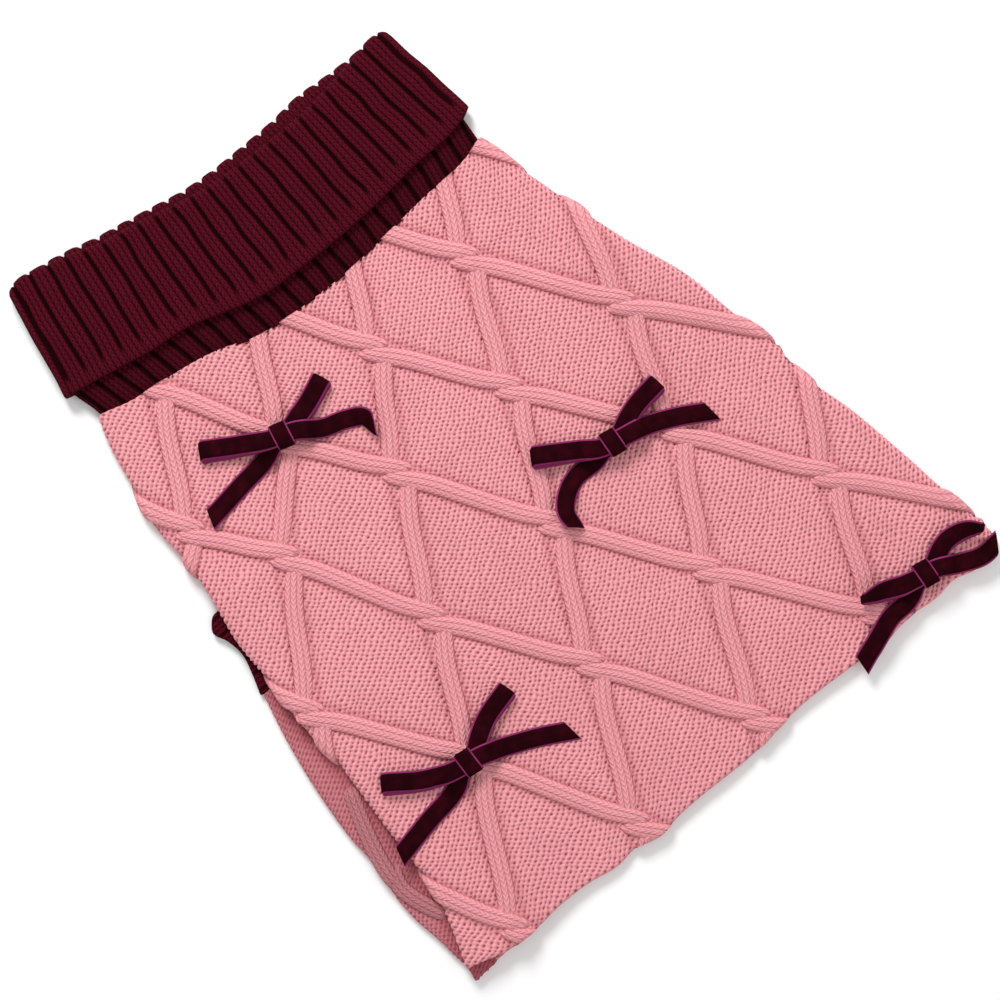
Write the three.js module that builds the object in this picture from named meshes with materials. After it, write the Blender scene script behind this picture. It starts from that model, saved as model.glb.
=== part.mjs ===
import * as THREE from 'three';

// Knitted dog sweater, laid flat.
// All sizes are millimetres. X runs across the garment, Y from the hem to the neck, Z up from the surface.
// The origin is the middle of the garment's footprint, on that surface.

// Driving dimensions
const WALL = 2.4; // body cloth
const COLLAR_WALL = 2.2;
const CUFF_WALL = 2.0;
const SEAM_GAP = 0.3;
const LAYER_GAP = 0.4;
const CABLE_HALF_WIDTH = 4.4;
const CABLE_CREST = 0.45; // share of the half width that is raised in full
const CABLE_RISE = 1.9;
const CABLE_DIP = 0.55; // share of its rise that a cable loses just before it passes under another
const COLLAR_RIBS = 23;
const CUFF_RIBS = 5;
const RIB_DEPTH = 0.8;
const RIB_CREST = 0.2; // share of a rib's pitch between its groove and its full height
const RIBBON_WIDTH = 9.5;
const RIBBON_WALL = 1.0;
const CUFF_LOW_Y = -17;
const CUFF_HIGH_Y = 25.5;
const CUFF_HIDDEN = 3; // the right cuff ends this far inside the back panel's edge

// Edges of the back panel: where each edge lies at a height y
const LEFT_EDGE = [
  { y: -190, x: -162 }, { y: -172, x: -156 }, { y: -160, x: -151.2 }, { y: -140, x: -144.8 },
  { y: -121, x: -141.7 }, { y: -97, x: -139.4 }, { y: -63, x: -136.4 }, { y: -36, x: -137 },
  { y: -17, x: -134.3 }, { y: 11, x: -132 }, { y: 27, x: -128.2 }, { y: 53, x: -125.2 },
  { y: 75, x: -124.6 }, { y: 95, x: -119.4 }, { y: 116, x: -113.8 }, { y: 129, x: -108.7 },
  { y: 145, x: -102 },
];
const RIGHT_EDGE = [
  { y: -200, x: 156 }, { y: -180, x: 155.4 }, { y: -165, x: 153.4 }, { y: -134, x: 149.9 },
  { y: -103, x: 146 }, { y: -76, x: 141.2 }, { y: -54, x: 141.2 }, { y: -34, x: 136.8 },
  { y: -5, x: 132 }, { y: 22, x: 123.6 }, { y: 46, x: 118.2 }, { y: 65, x: 113.6 },
  { y: 90, x: 108.2 }, { y: 105, x: 105 }, { y: 125, x: 101 },
];
// The belly panel reaches further out on the left, where it is turned up beside the back panel
const STRIP_EDGE = [
  { y: -190, x: -162 }, { y: -172, x: -156.4 }, { y: -165, x: -157 }, { y: -154, x: -157.6 },
  { y: -141, x: -159 }, { y: -126, x: -158.6 }, { y: -115, x: -156.3 }, { y: -92, x: -155.6 },
  { y: -68, x: -152.6 }, { y: -39, x: -146.6 }, { y: -18, x: -140.6 },
];
// Neck seam and hem: the height of each at a place x across the garment
const NECK_SEAM = [
  { x: -125, y: 129.5 }, { x: -108, y: 126.6 }, { x: -94, y: 121.9 }, { x: -78, y: 119 },
  { x: -46, y: 111 }, { x: -32, y: 104.8 }, { x: -16, y: 101.6 }, { x: 3, y: 99.3 },
  { x: 20, y: 98.2 }, { x: 42, y: 98.6 }, { x: 66, y: 99.3 }, { x: 98, y: 100.2 },
  { x: 104, y: 101.8 }, { x: 120, y: 105.4 },
];
const HEM = [
  { x: -170, y: -169 }, { x: -156, y: -172.2 }, { x: -149, y: -174.4 }, { x: -138, y: -178.6 },
  { x: -125, y: -180.4 }, { x: -103, y: -180.2 }, { x: -88, y: -181.9 }, { x: -74, y: -185 },
  { x: -62, y: -184.6 }, { x: -52, y: -187.8 }, { x: -37, y: -187 }, { x: 11, y: -189.4 },
  { x: 37, y: -187.9 }, { x: 64, y: -190.1 }, { x: 85, y: -192.6 }, { x: 101, y: -191.6 },
  { x: 117, y: -193.5 }, { x: 128, y: -192.9 }, { x: 139, y: -196.2 }, { x: 152, y: -193.4 },
  { x: 170, y: -189 },
];
// Turned-down collar: its free edge, its fold, and how far the lower layer's fold shows beyond the upper one
const COLLAR_FREE = [
  { x: -114.5, y: 143.6 }, { x: -100, y: 140.4 }, { x: -71, y: 132.9 }, { x: -51, y: 129.2 },
  { x: -33, y: 122.4 }, { x: -16, y: 116.9 }, { x: 3.5, y: 114.5 }, { x: 49, y: 112.4 },
  { x: 74, y: 113.4 }, { x: 105, y: 114.6 }, { x: 111.5, y: 117 },
];
const COLLAR_FOLD = [
  { x: -102, y: 197 }, { x: -94, y: 198.6 }, { x: -80, y: 194.8 }, { x: -68, y: 190.7 },
  { x: -53, y: 185.1 }, { x: -38.6, y: 181.5 }, { x: -22.8, y: 176.9 }, { x: -10.6, y: 173.1 },
  { x: 6.5, y: 169.9 }, { x: 23, y: 168.3 }, { x: 53, y: 166.3 }, { x: 83, y: 168.5 },
  { x: 104, y: 169.6 }, { x: 107.5, y: 168.4 },
];
const COLLAR_PEEK = [
  { x: -95, y: 0 }, { x: -60, y: 3.5 }, { x: -30, y: 4 }, { x: 0, y: 5.5 },
  { x: 40, y: 7 }, { x: 55, y: 8 }, { x: 76, y: 4 }, { x: 98, y: 0 },
];
// Cable lattice: each row of crossings, its height, the pitch of its cables, its middle and its slope
const LATTICE = [
  { row: 0, y: 121, pitch: 57, middle: 5, slope: 0 },
  { row: 1, y: 65, pitch: 59, middle: 4.5, slope: 0.04 },
  { row: 2, y: 13, pitch: 64, middle: 6, slope: -0.1 },
  { row: 3, y: -49.5, pitch: 70, middle: 10.5, slope: -0.085 },
  { row: 4, y: -110.5, pitch: 69, middle: 14, slope: -0.07 },
  { row: 5, y: -178, pitch: 73, middle: 18.5, slope: -0.03 },
];
// Section of the back panel from its side edge inwards. out and in are the outer and inner points'
// distances from the edge, top and under their heights, lean how far the outer face looks sideways
const SIDE_SECTION = [
  { from: 0, out: 0, top: 2.7, in: 2.4, under: 2.7, lean: 1 },
  { from: 1, out: 0.1, top: 4.7, in: 2.5, under: 3.7, lean: 0.9 },
  { from: 3, out: 1.9, top: 6.7, in: 3.8, under: 4.5, lean: 0.5 },
  { from: 9, out: 9, top: 7.3, in: 9, under: 4.9, lean: 0 },
  { from: 25, out: 25, top: 6.5, in: 25, under: 4.1, lean: 0 },
  { from: 60, out: 60, top: 5.6, in: 60, under: 3.2, lean: 0 },
  { from: 200, out: 200, top: 5.4, in: 200, under: 3.0, lean: 0 },
];
// The back panel's sides are lifted where a cuff or the turned-up strip lies under them
const LEFT_LIFT = [
  { y: -200, lift: 3 }, { y: 27, lift: 3 }, { y: 60, lift: 0 }, { y: 140, lift: 0 },
];
const RIGHT_LIFT = [
  { y: -200, lift: 0 }, { y: -50, lift: 0 }, { y: -20, lift: 2.2 }, { y: 28, lift: 2.2 },
  { y: 58, lift: 0 }, { y: 140, lift: 0 },
];
const LIFT_REACH = 70;
// Cable on the turned-up strip: its middle and how much of it is raised, by height
const STRIP_CABLE = [
  { y: -190, x: -136, rise: 0 }, { y: -160, x: -142, rise: 0 }, { y: -150, x: -145.5, rise: 0 },
  { y: -142, x: -149.5, rise: 0 }, { y: -133, x: -152.6, rise: 1 }, { y: -124, x: -154, rise: 1 },
  { y: -116, x: -153.6, rise: 1 }, { y: -107, x: -151.8, rise: 1 }, { y: -94, x: -147.8, rise: 0.9 },
  { y: -84, x: -144, rise: 0 }, { y: -72, x: -139, rise: 0 }, { y: -18, x: -125, rise: 0 },
];
// Outer end of the left cuff where it shows beside the back panel
const CUFF_TIP = [
  { y: -17, x: -141.8 }, { y: -8, x: -138.2 }, { y: 4, x: -134.9 }, { y: 12, x: -135.8 },
  { y: 20, x: -138 }, { y: 25.5, x: -133.4 },
];

// Bows: each knot's place and turn, then each loop and tail as points from the knot
const BOWS = [
  {
    name: 'bow_1', knot: { x: -53, y: 64 }, turn: -20,
    leftLoop: [{ x: -16.5, y: 9.5 }, { x: -31, y: 19.5 }],
    rightLoop: [{ x: 18, y: 3 }, { x: 30, y: 7 }],
    leftTail: [{ x: -12, y: -2.5 }, { x: -29, y: -4 }, { x: -50, y: -6 }],
    rightTail: [{ x: 16, y: -10 }, { x: 27, y: -14.5 }, { x: 33.5, y: -19 }, { x: 34, y: -26 }],
  },
  {
    name: 'bow_2', knot: { x: 55.5, y: -40.5 }, turn: -13,
    leftLoop: [{ x: -14.5, y: 8.5 }, { x: -30, y: 19.5 }],
    rightLoop: [{ x: 20.5, y: 5.5 }, { x: 32.5, y: 6.5 }],
    leftTail: [
      { x: -12, y: -1 }, { x: -23.5, y: -0.5 }, { x: -32, y: -4 }, { x: -37, y: -8.5 }, { x: -39, y: -17 },
    ],
    rightTail: [{ x: 17, y: -5 }, { x: 29, y: -11 }, { x: 43.5, y: -20.5 }],
  },
  {
    name: 'bow_3', knot: { x: -91.5, y: -103 }, turn: -10,
    leftLoop: [{ x: -18.5, y: 7 }, { x: -34, y: 19 }],
    rightLoop: [{ x: 19, y: 9 }, { x: 34.5, y: 12.5 }],
    leftTail: [{ x: -12, y: -5 }, { x: -31.5, y: -7.5 }, { x: -52, y: -10.5 }],
    rightTail: [{ x: 19, y: -7.5 }, { x: 31.5, y: -14 }, { x: 44.5, y: -22 }],
  },
  {
    name: 'bow_4', knot: { x: 120, y: -181.3 }, turn: -13,
    leftLoop: [{ x: -12.5, y: 4 }, { x: -20, y: 8 }, { x: -28, y: 11.5 }],
    rightLoop: [{ x: 19, y: 5 }, { x: 27, y: 3 }, { x: 32, y: -0.5 }],
    leftTail: [{ x: -15, y: -4 }, { x: -24.5, y: -4 }, { x: -35.5, y: -7 }, { x: -49.5, y: -11.5 }],
    rightTail: [{ x: 15, y: -7.5 }, { x: 26, y: -12 }, { x: 33.5, y: -11.5 }],
  },
];

// Finishes
const PINK_KNIT = { color: 0xe0929a, roughness: 0.95, metalness: 0 };
const BURGUNDY_KNIT = { color: 0x4e0f1c, roughness: 0.95, metalness: 0 };
const VELVET = { color: 0x2c0310, roughness: 0.8, metalness: 0 };

// Small helpers
const mix = (a, b, share) => a + (b - a) * share;
const clamp = (value, low, high) => Math.min(high, Math.max(low, value));

// Reads one column of a table at a value of its key column, in straight steps between the rows
function look(table, key, value, column) {
  const last = table.length - 1;
  let row = 0;
  while (row < last - 1 && value > table[row + 1][key]) row += 1;
  const low = table[row];
  const high = table[row + 1];
  return mix(low[column], high[column], (value - low[key]) / (high[key] - low[key]));
}

const lookHeld = (table, key, value, column) =>
  look(table, key, clamp(value, table[0][key], table[table.length - 1][key]), column);

// A closed mesh from points and triangles, with its faces turned outwards
function solid(name, finish, points, triangles) {
  let volume = 0;
  const a = new THREE.Vector3();
  const b = new THREE.Vector3();
  const c = new THREE.Vector3();
  for (const [i, j, k] of triangles) {
    volume += a.fromArray(points[i]).dot(b.fromArray(points[j]).cross(c.fromArray(points[k])));
  }
  const faces = volume < 0 ? triangles.map(([i, j, k]) => [i, k, j]) : triangles;
  const geometry = new THREE.BufferGeometry();
  geometry.setAttribute('position', new THREE.Float32BufferAttribute(points.flat(), 3));
  geometry.setIndex(faces.flat());
  geometry.computeVertexNormals();
  const mesh = new THREE.Mesh(geometry, new THREE.MeshStandardMaterial(finish));
  mesh.name = name;
  return mesh;
}

// A wall of cloth: a sheet of triangles, its outer and inner points, and a rim where the sheet ends
function wall(name, finish, outer, inner, sheet) {
  const count = outer.length;
  const triangles = [];
  const edges = new Map();
  for (const [i, j, k] of sheet) {
    triangles.push([i, j, k], [i + count, k + count, j + count]);
    for (const [from, to] of [[i, j], [j, k], [k, i]]) {
      const twin = `${to},${from}`;
      if (edges.has(twin)) edges.delete(twin);
      else edges.set(`${from},${to}`, [from, to]);
    }
  }
  for (const [from, to] of edges.values()) {
    triangles.push([to, from, from + count], [to, from + count, to + count]);
  }
  return solid(name, finish, [...outer, ...inner], triangles);
}

// A closed skin over a grid of rings. The last ring joins the first, or both are capped
function skin(name, finish, rings, capped) {
  const size = rings[0].length;
  const triangles = [];
  const steps = capped ? rings.length - 1 : rings.length;
  for (let ring = 0; ring < steps; ring += 1) {
    const near = ring * size;
    const far = ((ring + 1) % rings.length) * size;
    for (let i = 0; i < size; i += 1) {
      const next = (i + 1) % size;
      triangles.push([near + i, near + next, far + next], [near + i, far + next, far + i]);
    }
  }
  if (capped) {
    const far = (rings.length - 1) * size;
    for (let i = 1; i < size - 1; i += 1) {
      triangles.push([0, i + 1, i], [far, far + i, far + i + 1]);
    }
  }
  return solid(name, finish, rings.flat(), triangles);
}

// Cable lattice: a point is found from its row number and its place along the row, and the other way round
function latticePoint(row, place) {
  const middle = look(LATTICE, 'row', row, 'middle');
  const x = middle + place * look(LATTICE, 'row', row, 'pitch');
  return { x, y: look(LATTICE, 'row', row, 'y') + look(LATTICE, 'row', row, 'slope') * (x - middle) };
}

function latticePlace(x, y) {
  let low = -2;
  let high = 7;
  for (let step = 0; step < 30; step += 1) {
    const row = (low + high) / 2;
    const middle = look(LATTICE, 'row', row, 'middle');
    const height = look(LATTICE, 'row', row, 'y') + look(LATTICE, 'row', row, 'slope') * (x - middle);
    if (height > y) low = row;
    else high = row;
  }
  return { row: low, place: (x - look(LATTICE, 'row', low, 'middle')) / look(LATTICE, 'row', low, 'pitch') };
}

// Half the width of a cable, as a share of the lattice's pitch
function cableShare(row) {
  const step = 0.5;
  const drop = look(LATTICE, 'row', row - step, 'y') - look(LATTICE, 'row', row + step, 'y');
  return CABLE_HALF_WIDTH * Math.hypot(1 / look(LATTICE, 'row', row, 'pitch'), step / drop);
}

// Height of the cables. over and under are distances from the middle of the nearest cable of each
// family, as shares of the half width. The cables that run towards the right pass over the others
function cableRise(over, under) {
  const flank = (distance) => clamp((1 - distance) / (1 - CABLE_CREST), 0, 1);
  const nearCrossing = clamp(2 - over, 0, 1);
  return CABLE_RISE * Math.max(flank(over), flank(under) * (1 - CABLE_DIP * nearCrossing));
}

function reliefAt(x, y) {
  const { row, place } = latticePlace(x, y);
  const half = cableShare(row);
  const over = place - row / 2 + 0.5;
  const under = place + row / 2 - 0.5;
  return cableRise(Math.abs(over - Math.round(over)) / half, Math.abs(under - Math.round(under)) / half);
}

// The back panel's outer and inner points over a place, with the cables' height added outwards
function backPoints(x, y, relief) {
  const fromLeft = x - look(LEFT_EDGE, 'y', y, 'x');
  const fromRight = look(RIGHT_EDGE, 'y', y, 'x') - x;
  const side = fromLeft < fromRight ? -1 : 1;
  const from = Math.max(0, Math.min(fromLeft, fromRight));
  const read = (column) => look(SIDE_SECTION, 'from', from, column);
  const lift = lookHeld(side < 0 ? LEFT_LIFT : RIGHT_LIFT, 'y', y, 'lift')
    * clamp(1 - from / LIFT_REACH, 0, 1);
  const lean = read('lean');
  return {
    outer: [
      x + side * (from - read('out') + relief * lean),
      y,
      read('top') + lift + relief * Math.sqrt(1 - lean * lean),
    ],
    inner: [x + side * (from - read('in')), y, read('under') + lift],
  };
}

// Back panel: a sheet of triangles along the lattice, cut to the panel's outline
const BACK_FIELDS = {
  left: ({ x, y }) => x - look(LEFT_EDGE, 'y', y, 'x'),
  right: ({ x, y }) => look(RIGHT_EDGE, 'y', y, 'x') - x,
  neck: ({ x, y }) => look(NECK_SEAM, 'x', x, 'y') - SEAM_GAP / 2 - y,
  hem: ({ x, y }) => y - look(HEM, 'x', x, 'y'),
};
const SNAP = 0.7; // a corner this near to a cut is moved onto it
const TINY = 1e-6;

// Moves the corners that lie close to a cut onto it, then splits every edge that crosses it
function split(mesh, field, level) {
  const across = field === BACK_FIELDS.left || field === BACK_FIELDS.right;
  const along = (corner) => field(corner) - level;
  for (const corner of mesh.corners) {
    for (let pass = 0; pass < 4 && Math.abs(along(corner)) < SNAP; pass += 1) {
      const slope = field === BACK_FIELDS.left || field === BACK_FIELDS.hem ? 1 : -1;
      if (across) corner.x -= slope * along(corner);
      else corner.y -= slope * along(corner);
    }
  }
  const sign = mesh.corners.map((corner) => {
    const value = along(corner);
    if (Math.abs(value) < TINY) return 0;
    return value > 0 ? 1 : -1;
  });
  const made = new Map();
  const between = (i, j) => {
    const key = i < j ? `${i},${j}` : `${j},${i}`;
    if (made.has(key)) return made.get(key);
    const inside = sign[i] > 0 ? mesh.corners[i] : mesh.corners[j];
    const outside = sign[i] > 0 ? mesh.corners[j] : mesh.corners[i];
    let low = 0;
    let high = 1;
    for (let step = 0; step < 24; step += 1) {
      const half = (low + high) / 2;
      const spot = { x: mix(inside.x, outside.x, half), y: mix(inside.y, outside.y, half) };
      if (along(spot) > 0) low = half;
      else high = half;
    }
    mesh.corners.push({
      x: mix(inside.x, outside.x, low),
      y: mix(inside.y, outside.y, low),
      relief: mix(inside.relief, outside.relief, low),
    });
    sign.push(0);
    made.set(key, mesh.corners.length - 1);
    return mesh.corners.length - 1;
  };
  const sheet = [];
  for (const triangle of mesh.sheet) {
    for (const keep of [1, -1]) {
      const shape = [];
      for (let n = 0; n < 3; n += 1) {
        const i = triangle[n];
        const j = triangle[(n + 1) % 3];
        if (sign[i] * keep >= 0) shape.push(i);
        if (sign[i] * sign[j] < 0) shape.push(between(i, j));
      }
      const counts = shape.some((i) => sign[i] * keep > 0);
      if (!counts) continue;
      for (let n = 1; n < shape.length - 1; n += 1) sheet.push([shape[0], shape[n], shape[n + 1]]);
    }
  }
  return { corners: mesh.corners, sheet };
}

function dropOutside(mesh, field) {
  const inside = ([i, j, k]) => {
    const values = [i, j, k].map((n) => field(mesh.corners[n]));
    return Math.max(...values) > TINY && Math.min(...values) > -TINY;
  };
  return { corners: mesh.corners, sheet: mesh.sheet.filter(inside) };
}

function latticeSheet() {
  const lines = [];
  for (let cable = -7; cable <= 7; cable += 1) {
    for (const edge of [-1, -CABLE_CREST, CABLE_CREST, 1]) lines.push({ cable, edge, plain: 0 });
    for (const plain of [0.36, 0.64]) lines.push({ cable, edge: 0, plain });
  }
  const corners = [];
  const number = new Map();
  lines.forEach((over, i) => {
    lines.forEach((under, j) => {
      const row = under.cable + under.plain - over.cable - over.plain + 1;
      if (row < -1.5 || row > 6.5) return;
      const half = cableShare(row);
      const p = over.cable + over.plain + over.edge * half;
      const q = under.cable + under.plain + under.edge * half;
      const { x, y } = latticePoint(q - p + 1, (p + q) / 2);
      const away = (line) => (line.plain ? 9 : Math.abs(line.edge));
      number.set(`${i},${j}`, corners.length);
      corners.push({ x, y, relief: cableRise(away(over), away(under)) });
    });
  });
  const sheet = [];
  for (let i = 0; i < lines.length - 1; i += 1) {
    for (let j = 0; j < lines.length - 1; j += 1) {
      const square = [`${i},${j}`, `${i + 1},${j}`, `${i + 1},${j + 1}`, `${i},${j + 1}`];
      if (!square.every((key) => number.has(key))) continue;
      const [a, b, c, d] = square.map((key) => number.get(key));
      sheet.push([a, b, c], [a, c, d]);
    }
  }
  return { corners, sheet };
}

function backPanel() {
  let mesh = latticeSheet();
  for (const field of Object.values(BACK_FIELDS)) {
    mesh = dropOutside(split(mesh, field, 0), field);
  }
  for (const field of [BACK_FIELDS.left, BACK_FIELDS.right]) {
    for (const from of [1, 3, 9]) mesh = split(mesh, field, from);
  }
  const used = [...new Set(mesh.sheet.flat())];
  const place = new Map(used.map((corner, index) => [corner, index]));
  const pairs = used.map((corner) => {
    const { x, y, relief } = mesh.corners[corner];
    return backPoints(x, y, relief);
  });
  return wall(
    'back_panel',
    PINK_KNIT,
    pairs.map((pair) => pair.outer),
    pairs.map((pair) => pair.inner),
    mesh.sheet.map((triangle) => triangle.map((corner) => place.get(corner))),
  );
}

// Belly panel: flat on the surface, notched for the leg cuffs, and turned up on the left into a strip
const BELLY_ROWS = [0, 0.035, 0.08, 0.13, 0.18, 0.23, 0.28, 0.34, 0.4, 0.46, 'low', 'high', 0.78, 0.88, 1];
const BELLY_SHARES = [0.15, 0.3, 0.45, 0.55, 0.65, 0.73, 0.82, 0.91, 1]; // across, between the notches
const BELLY_NECK_GAP = 1.6; // its straight steps stay clear of the collar's curved seam
const NOTCH_DEPTH = 24;
const STRIP_TUCK = 14; // how far the turned-up strip runs on under the back panel
const TURN_RADIUS = WALL + LAYER_GAP / 2;
const BELLY_EDGE_INSET = 0.7; // the underside's edge is drawn in, as cloth rounds off
const BELLY_HEM_INSET = 1; // the back panel's hem hides the belly's
const HEM_SPAN = { low: -125, high: 120 }; // the stretch whose heights the belly's rows follow

function bellyRow(row, y) {
  const lowRow = BELLY_ROWS.indexOf('low');
  const highRow = BELLY_ROWS.indexOf('high');
  const hasStrip = row <= lowRow;
  const left = hasStrip ? look(STRIP_EDGE, 'y', y, 'x') : look(LEFT_EDGE, 'y', y, 'x');
  const right = look(RIGHT_EDGE, 'y', y, 'x');
  const backEdge = look(LEFT_EDGE, 'y', y, 'x');
  const flat = [
    { x: right - BELLY_EDGE_INSET, over: right - 0.1 },
    { x: right - NOTCH_DEPTH, over: right - NOTCH_DEPTH },
    ...BELLY_SHARES.map((share) => {
      const x = mix(right - NOTCH_DEPTH, backEdge + NOTCH_DEPTH, share);
      return { x, over: x };
    }),
  ];
  const points = flat.map(({ x, over }) => ({ outer: [x, 0], inner: [over, WALL] }));
  if (hasStrip) points.push(...stripSection(y, left, backEdge));
  else points.push({ outer: [left + BELLY_EDGE_INSET, 0], inner: [left + 0.1, WALL] });
  return { points, notched: row >= lowRow && row < highRow };
}

// Section of the turned-up strip: half a turn round the fold, then back over the belly with its cable
function stripSection(y, left, backEdge) {
  const middle = left + TURN_RADIUS;
  const inside = TURN_RADIUS - WALL;
  const section = [];
  for (const angle of [0, 60, 120, 180]) {
    const turn = THREE.MathUtils.degToRad(angle);
    section.push({
      outer: [middle - TURN_RADIUS * Math.sin(turn), TURN_RADIUS * (1 - Math.cos(turn))],
      inner: [middle - inside * Math.sin(turn), TURN_RADIUS - inside * Math.cos(turn)],
    });
  }
  const top = 2 * TURN_RADIUS;
  const end = backEdge + STRIP_TUCK;
  const room = CABLE_HALF_WIDTH + 1;
  const cable = clamp(look(STRIP_CABLE, 'y', y, 'x'), middle + room, end - room);
  const rise = lookHeld(STRIP_CABLE, 'y', y, 'rise') * (CABLE_RISE - SEAM_GAP);
  for (const [edge, share] of [[-1, 0], [-CABLE_CREST, 1], [CABLE_CREST, 1], [1, 0]]) {
    const x = cable + edge * CABLE_HALF_WIDTH;
    section.push({ outer: [x, top + rise * share], inner: [x, top - WALL] });
  }
  section.push({ outer: [end, top], inner: [end, top - WALL] });
  return section;
}

function bellyPanel() {
  const rowHeights = (x) => {
    const hem = look(HEM, 'x', x, 'y') + BELLY_HEM_INSET;
    const neck = look(NECK_SEAM, 'x', x, 'y') - BELLY_NECK_GAP;
    return BELLY_ROWS.map((share) => {
      if (share === 'low') return CUFF_LOW_Y - SEAM_GAP;
      if (share === 'high') return CUFF_HIGH_Y + SEAM_GAP;
      return mix(hem, neck, share);
    });
  };
  const outer = [];
  const inner = [];
  const number = new Map();
  const sections = BELLY_ROWS.map((_, row) => bellyRow(row, rowHeights(0)[row]));
  sections.forEach((section, row) => {
    section.points.forEach((first, column) => {
      // The row's height follows the hem and the neck seam, so its section is read again at that height
      const guess = first.outer[0];
      const y = rowHeights(clamp(guess, HEM_SPAN.low, HEM_SPAN.high))[row];
      const point = bellyRow(row, y).points[column];
      number.set(`${row},${column}`, outer.length);
      outer.push([point.outer[0], y, point.outer[1]]);
      inner.push([point.inner[0], y, point.inner[1]]);
    });
  });
  const sheet = [];
  for (let row = 0; row < sections.length - 1; row += 1) {
    const columns = Math.min(sections[row].points.length, sections[row + 1].points.length) - 1;
    for (let column = 0; column < columns; column += 1) {
      const inNotch = sections[row].notched && (column === 0 || column === BELLY_SHARES.length + 1);
      if (inNotch) continue;
      const corners = [[row, column], [row, column + 1], [row + 1, column + 1], [row + 1, column]];
      const [a, b, c, d] = corners.map((key) => number.get(key.join(',')));
      sheet.push([a, b, c], [a, c, d]);
    }
  }
  return wall('belly_panel', PINK_KNIT, outer, inner, sheet);
}

// Places along a run of ribs: a groove, then the two sides of the rib's crest
function ribPlaces(count) {
  const places = [];
  for (let rib = 0; rib < count; rib += 1) {
    places.push({ at: rib / count, depth: 1 });
    places.push({ at: (rib + RIB_CREST) / count, depth: 0 });
    places.push({ at: (rib + 1 - RIB_CREST) / count, depth: 0 });
  }
  places.push({ at: 1, depth: 1 });
  return places;
}

// A flattened ring: over the top from low to high, round the side, and back along the plain underside
function flatRing({ low, high, top, bottom, groove }, ribs, underSteps, place) {
  const radius = (top - bottom) / 2;
  const middle = (top + bottom) / 2;
  const start = low + radius;
  const end = high - radius;
  const ring = ribs.map(({ at, depth }) => place(mix(start, end, at), top - depth * groove, 1));
  for (const angle of [45, 90, 135]) {
    const turn = THREE.MathUtils.degToRad(angle);
    ring.push(place(end + radius * Math.sin(turn), middle + radius * Math.cos(turn), Math.cos(turn)));
  }
  for (let step = 0; step <= underSteps; step += 1) {
    ring.push(place(mix(end, start, step / underSteps), bottom, -1));
  }
  for (const angle of [135, 90, 45]) {
    const turn = THREE.MathUtils.degToRad(angle);
    ring.push(place(start - radius * Math.sin(turn), middle + radius * Math.cos(turn), Math.cos(turn)));
  }
  return ring;
}

// Collar: the wall's section from the seam up the outside to the fold, over it to the free edge, and back
// along the other face. line is 0 at the seam, 1 at the free edge and 2 at the fold
const FOLD_RADIUS = COLLAR_WALL + SEAM_GAP / 2;
const COLLAR_SECTION = [
  { line: 0, shift: 0.5, top: 6.3, bottom: 0, groove: RIB_DEPTH, left: -108.3, right: 104.2 },
  { line: 0.5, shift: 0, top: 6.8, bottom: 1.3, groove: RIB_DEPTH, left: -109.4, right: 105 },
  { line: 1, shift: -0.5, top: 7.2, bottom: 2.5, groove: RIB_DEPTH, left: -110.4, right: 105.8 },
  { line: 2, shift: -FOLD_RADIUS, top: 7.2, bottom: 2.5, groove: RIB_DEPTH, left: -99.4, right: 104.4 },
  { line: 2, shift: 0.15 - FOLD_RADIUS, top: 7.35, bottom: 2.35, groove: 0, left: -99.8, right: 104.8 },
  { line: 2, shift: -FOLD_RADIUS, top: 7.5, bottom: 2.2, groove: 0, left: -100.1, right: 105.2 },
  { line: 1, shift: 0, top: 7.5, bottom: 2.2, groove: 0, left: -112.3, right: 109.2 },
  { line: 1, shift: 0, top: 10.2, bottom: 0, groove: RIB_DEPTH, left: -114.5, right: 111.4 },
  { line: 1.5, shift: 0, top: 10.7, bottom: 0, groove: RIB_DEPTH + 0.1, left: -108.6, right: 109.8 },
  { line: 2, shift: -FOLD_RADIUS, top: 10.4, bottom: 0, groove: RIB_DEPTH, left: -102.3, right: 107.4 },
  { line: 2, shift: -0.6, top: 9.5, bottom: 0.7, groove: RIB_DEPTH, left: -101.6, right: 106.8 },
  { line: 2, shift: 0, top: 7.35, bottom: 2.35, groove: 0, left: -99.9, right: 105, tip: RIB_DEPTH + 0.1 },
  { line: 2, shift: -0.7, top: 5.7, bottom: 4, groove: 0, left: -98, right: 103 },
  { line: 2, shift: -FOLD_RADIUS, top: 5, bottom: 4.7, groove: 0, left: -97.2, right: 102.2 },
  { line: 1, shift: -0.5, top: 5, bottom: 4.7, groove: 0, left: -108.2, right: 103.6 },
  { line: 0, shift: 0.5, top: 3.9, bottom: 2.2, groove: 0, left: -106.1, right: 102 },
];
const COLLAR_UNDER_STEPS = 11;

function collarLine(line, x, underside) {
  const seam = look(NECK_SEAM, 'x', x, 'y');
  const free = lookHeld(COLLAR_FREE, 'x', x, 'y');
  const fold = lookHeld(COLLAR_FOLD, 'x', x, 'y') + underside * lookHeld(COLLAR_PEEK, 'x', x, 'y');
  return line <= 1 ? mix(seam, free, line) : mix(free, fold, line - 1);
}

function collar() {
  const ribs = ribPlaces(COLLAR_RIBS);
  const rings = COLLAR_SECTION.map((row) => {
    let place = -1;
    return flatRing({ ...row, low: row.left, high: row.right }, ribs, COLLAR_UNDER_STEPS, (x, z, up) => {
      place += 1;
      const depth = place < ribs.length ? ribs[place].depth : 0.5;
      const notch = row.tip ? row.tip * depth : 0;
      const underside = clamp((1 - up) / 2, 0, 1);
      return [x, collarLine(row.line, x, underside) + row.shift - notch, z];
    });
  });
  return skin('collar', BURGUNDY_KNIT, rings, false);
}

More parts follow.
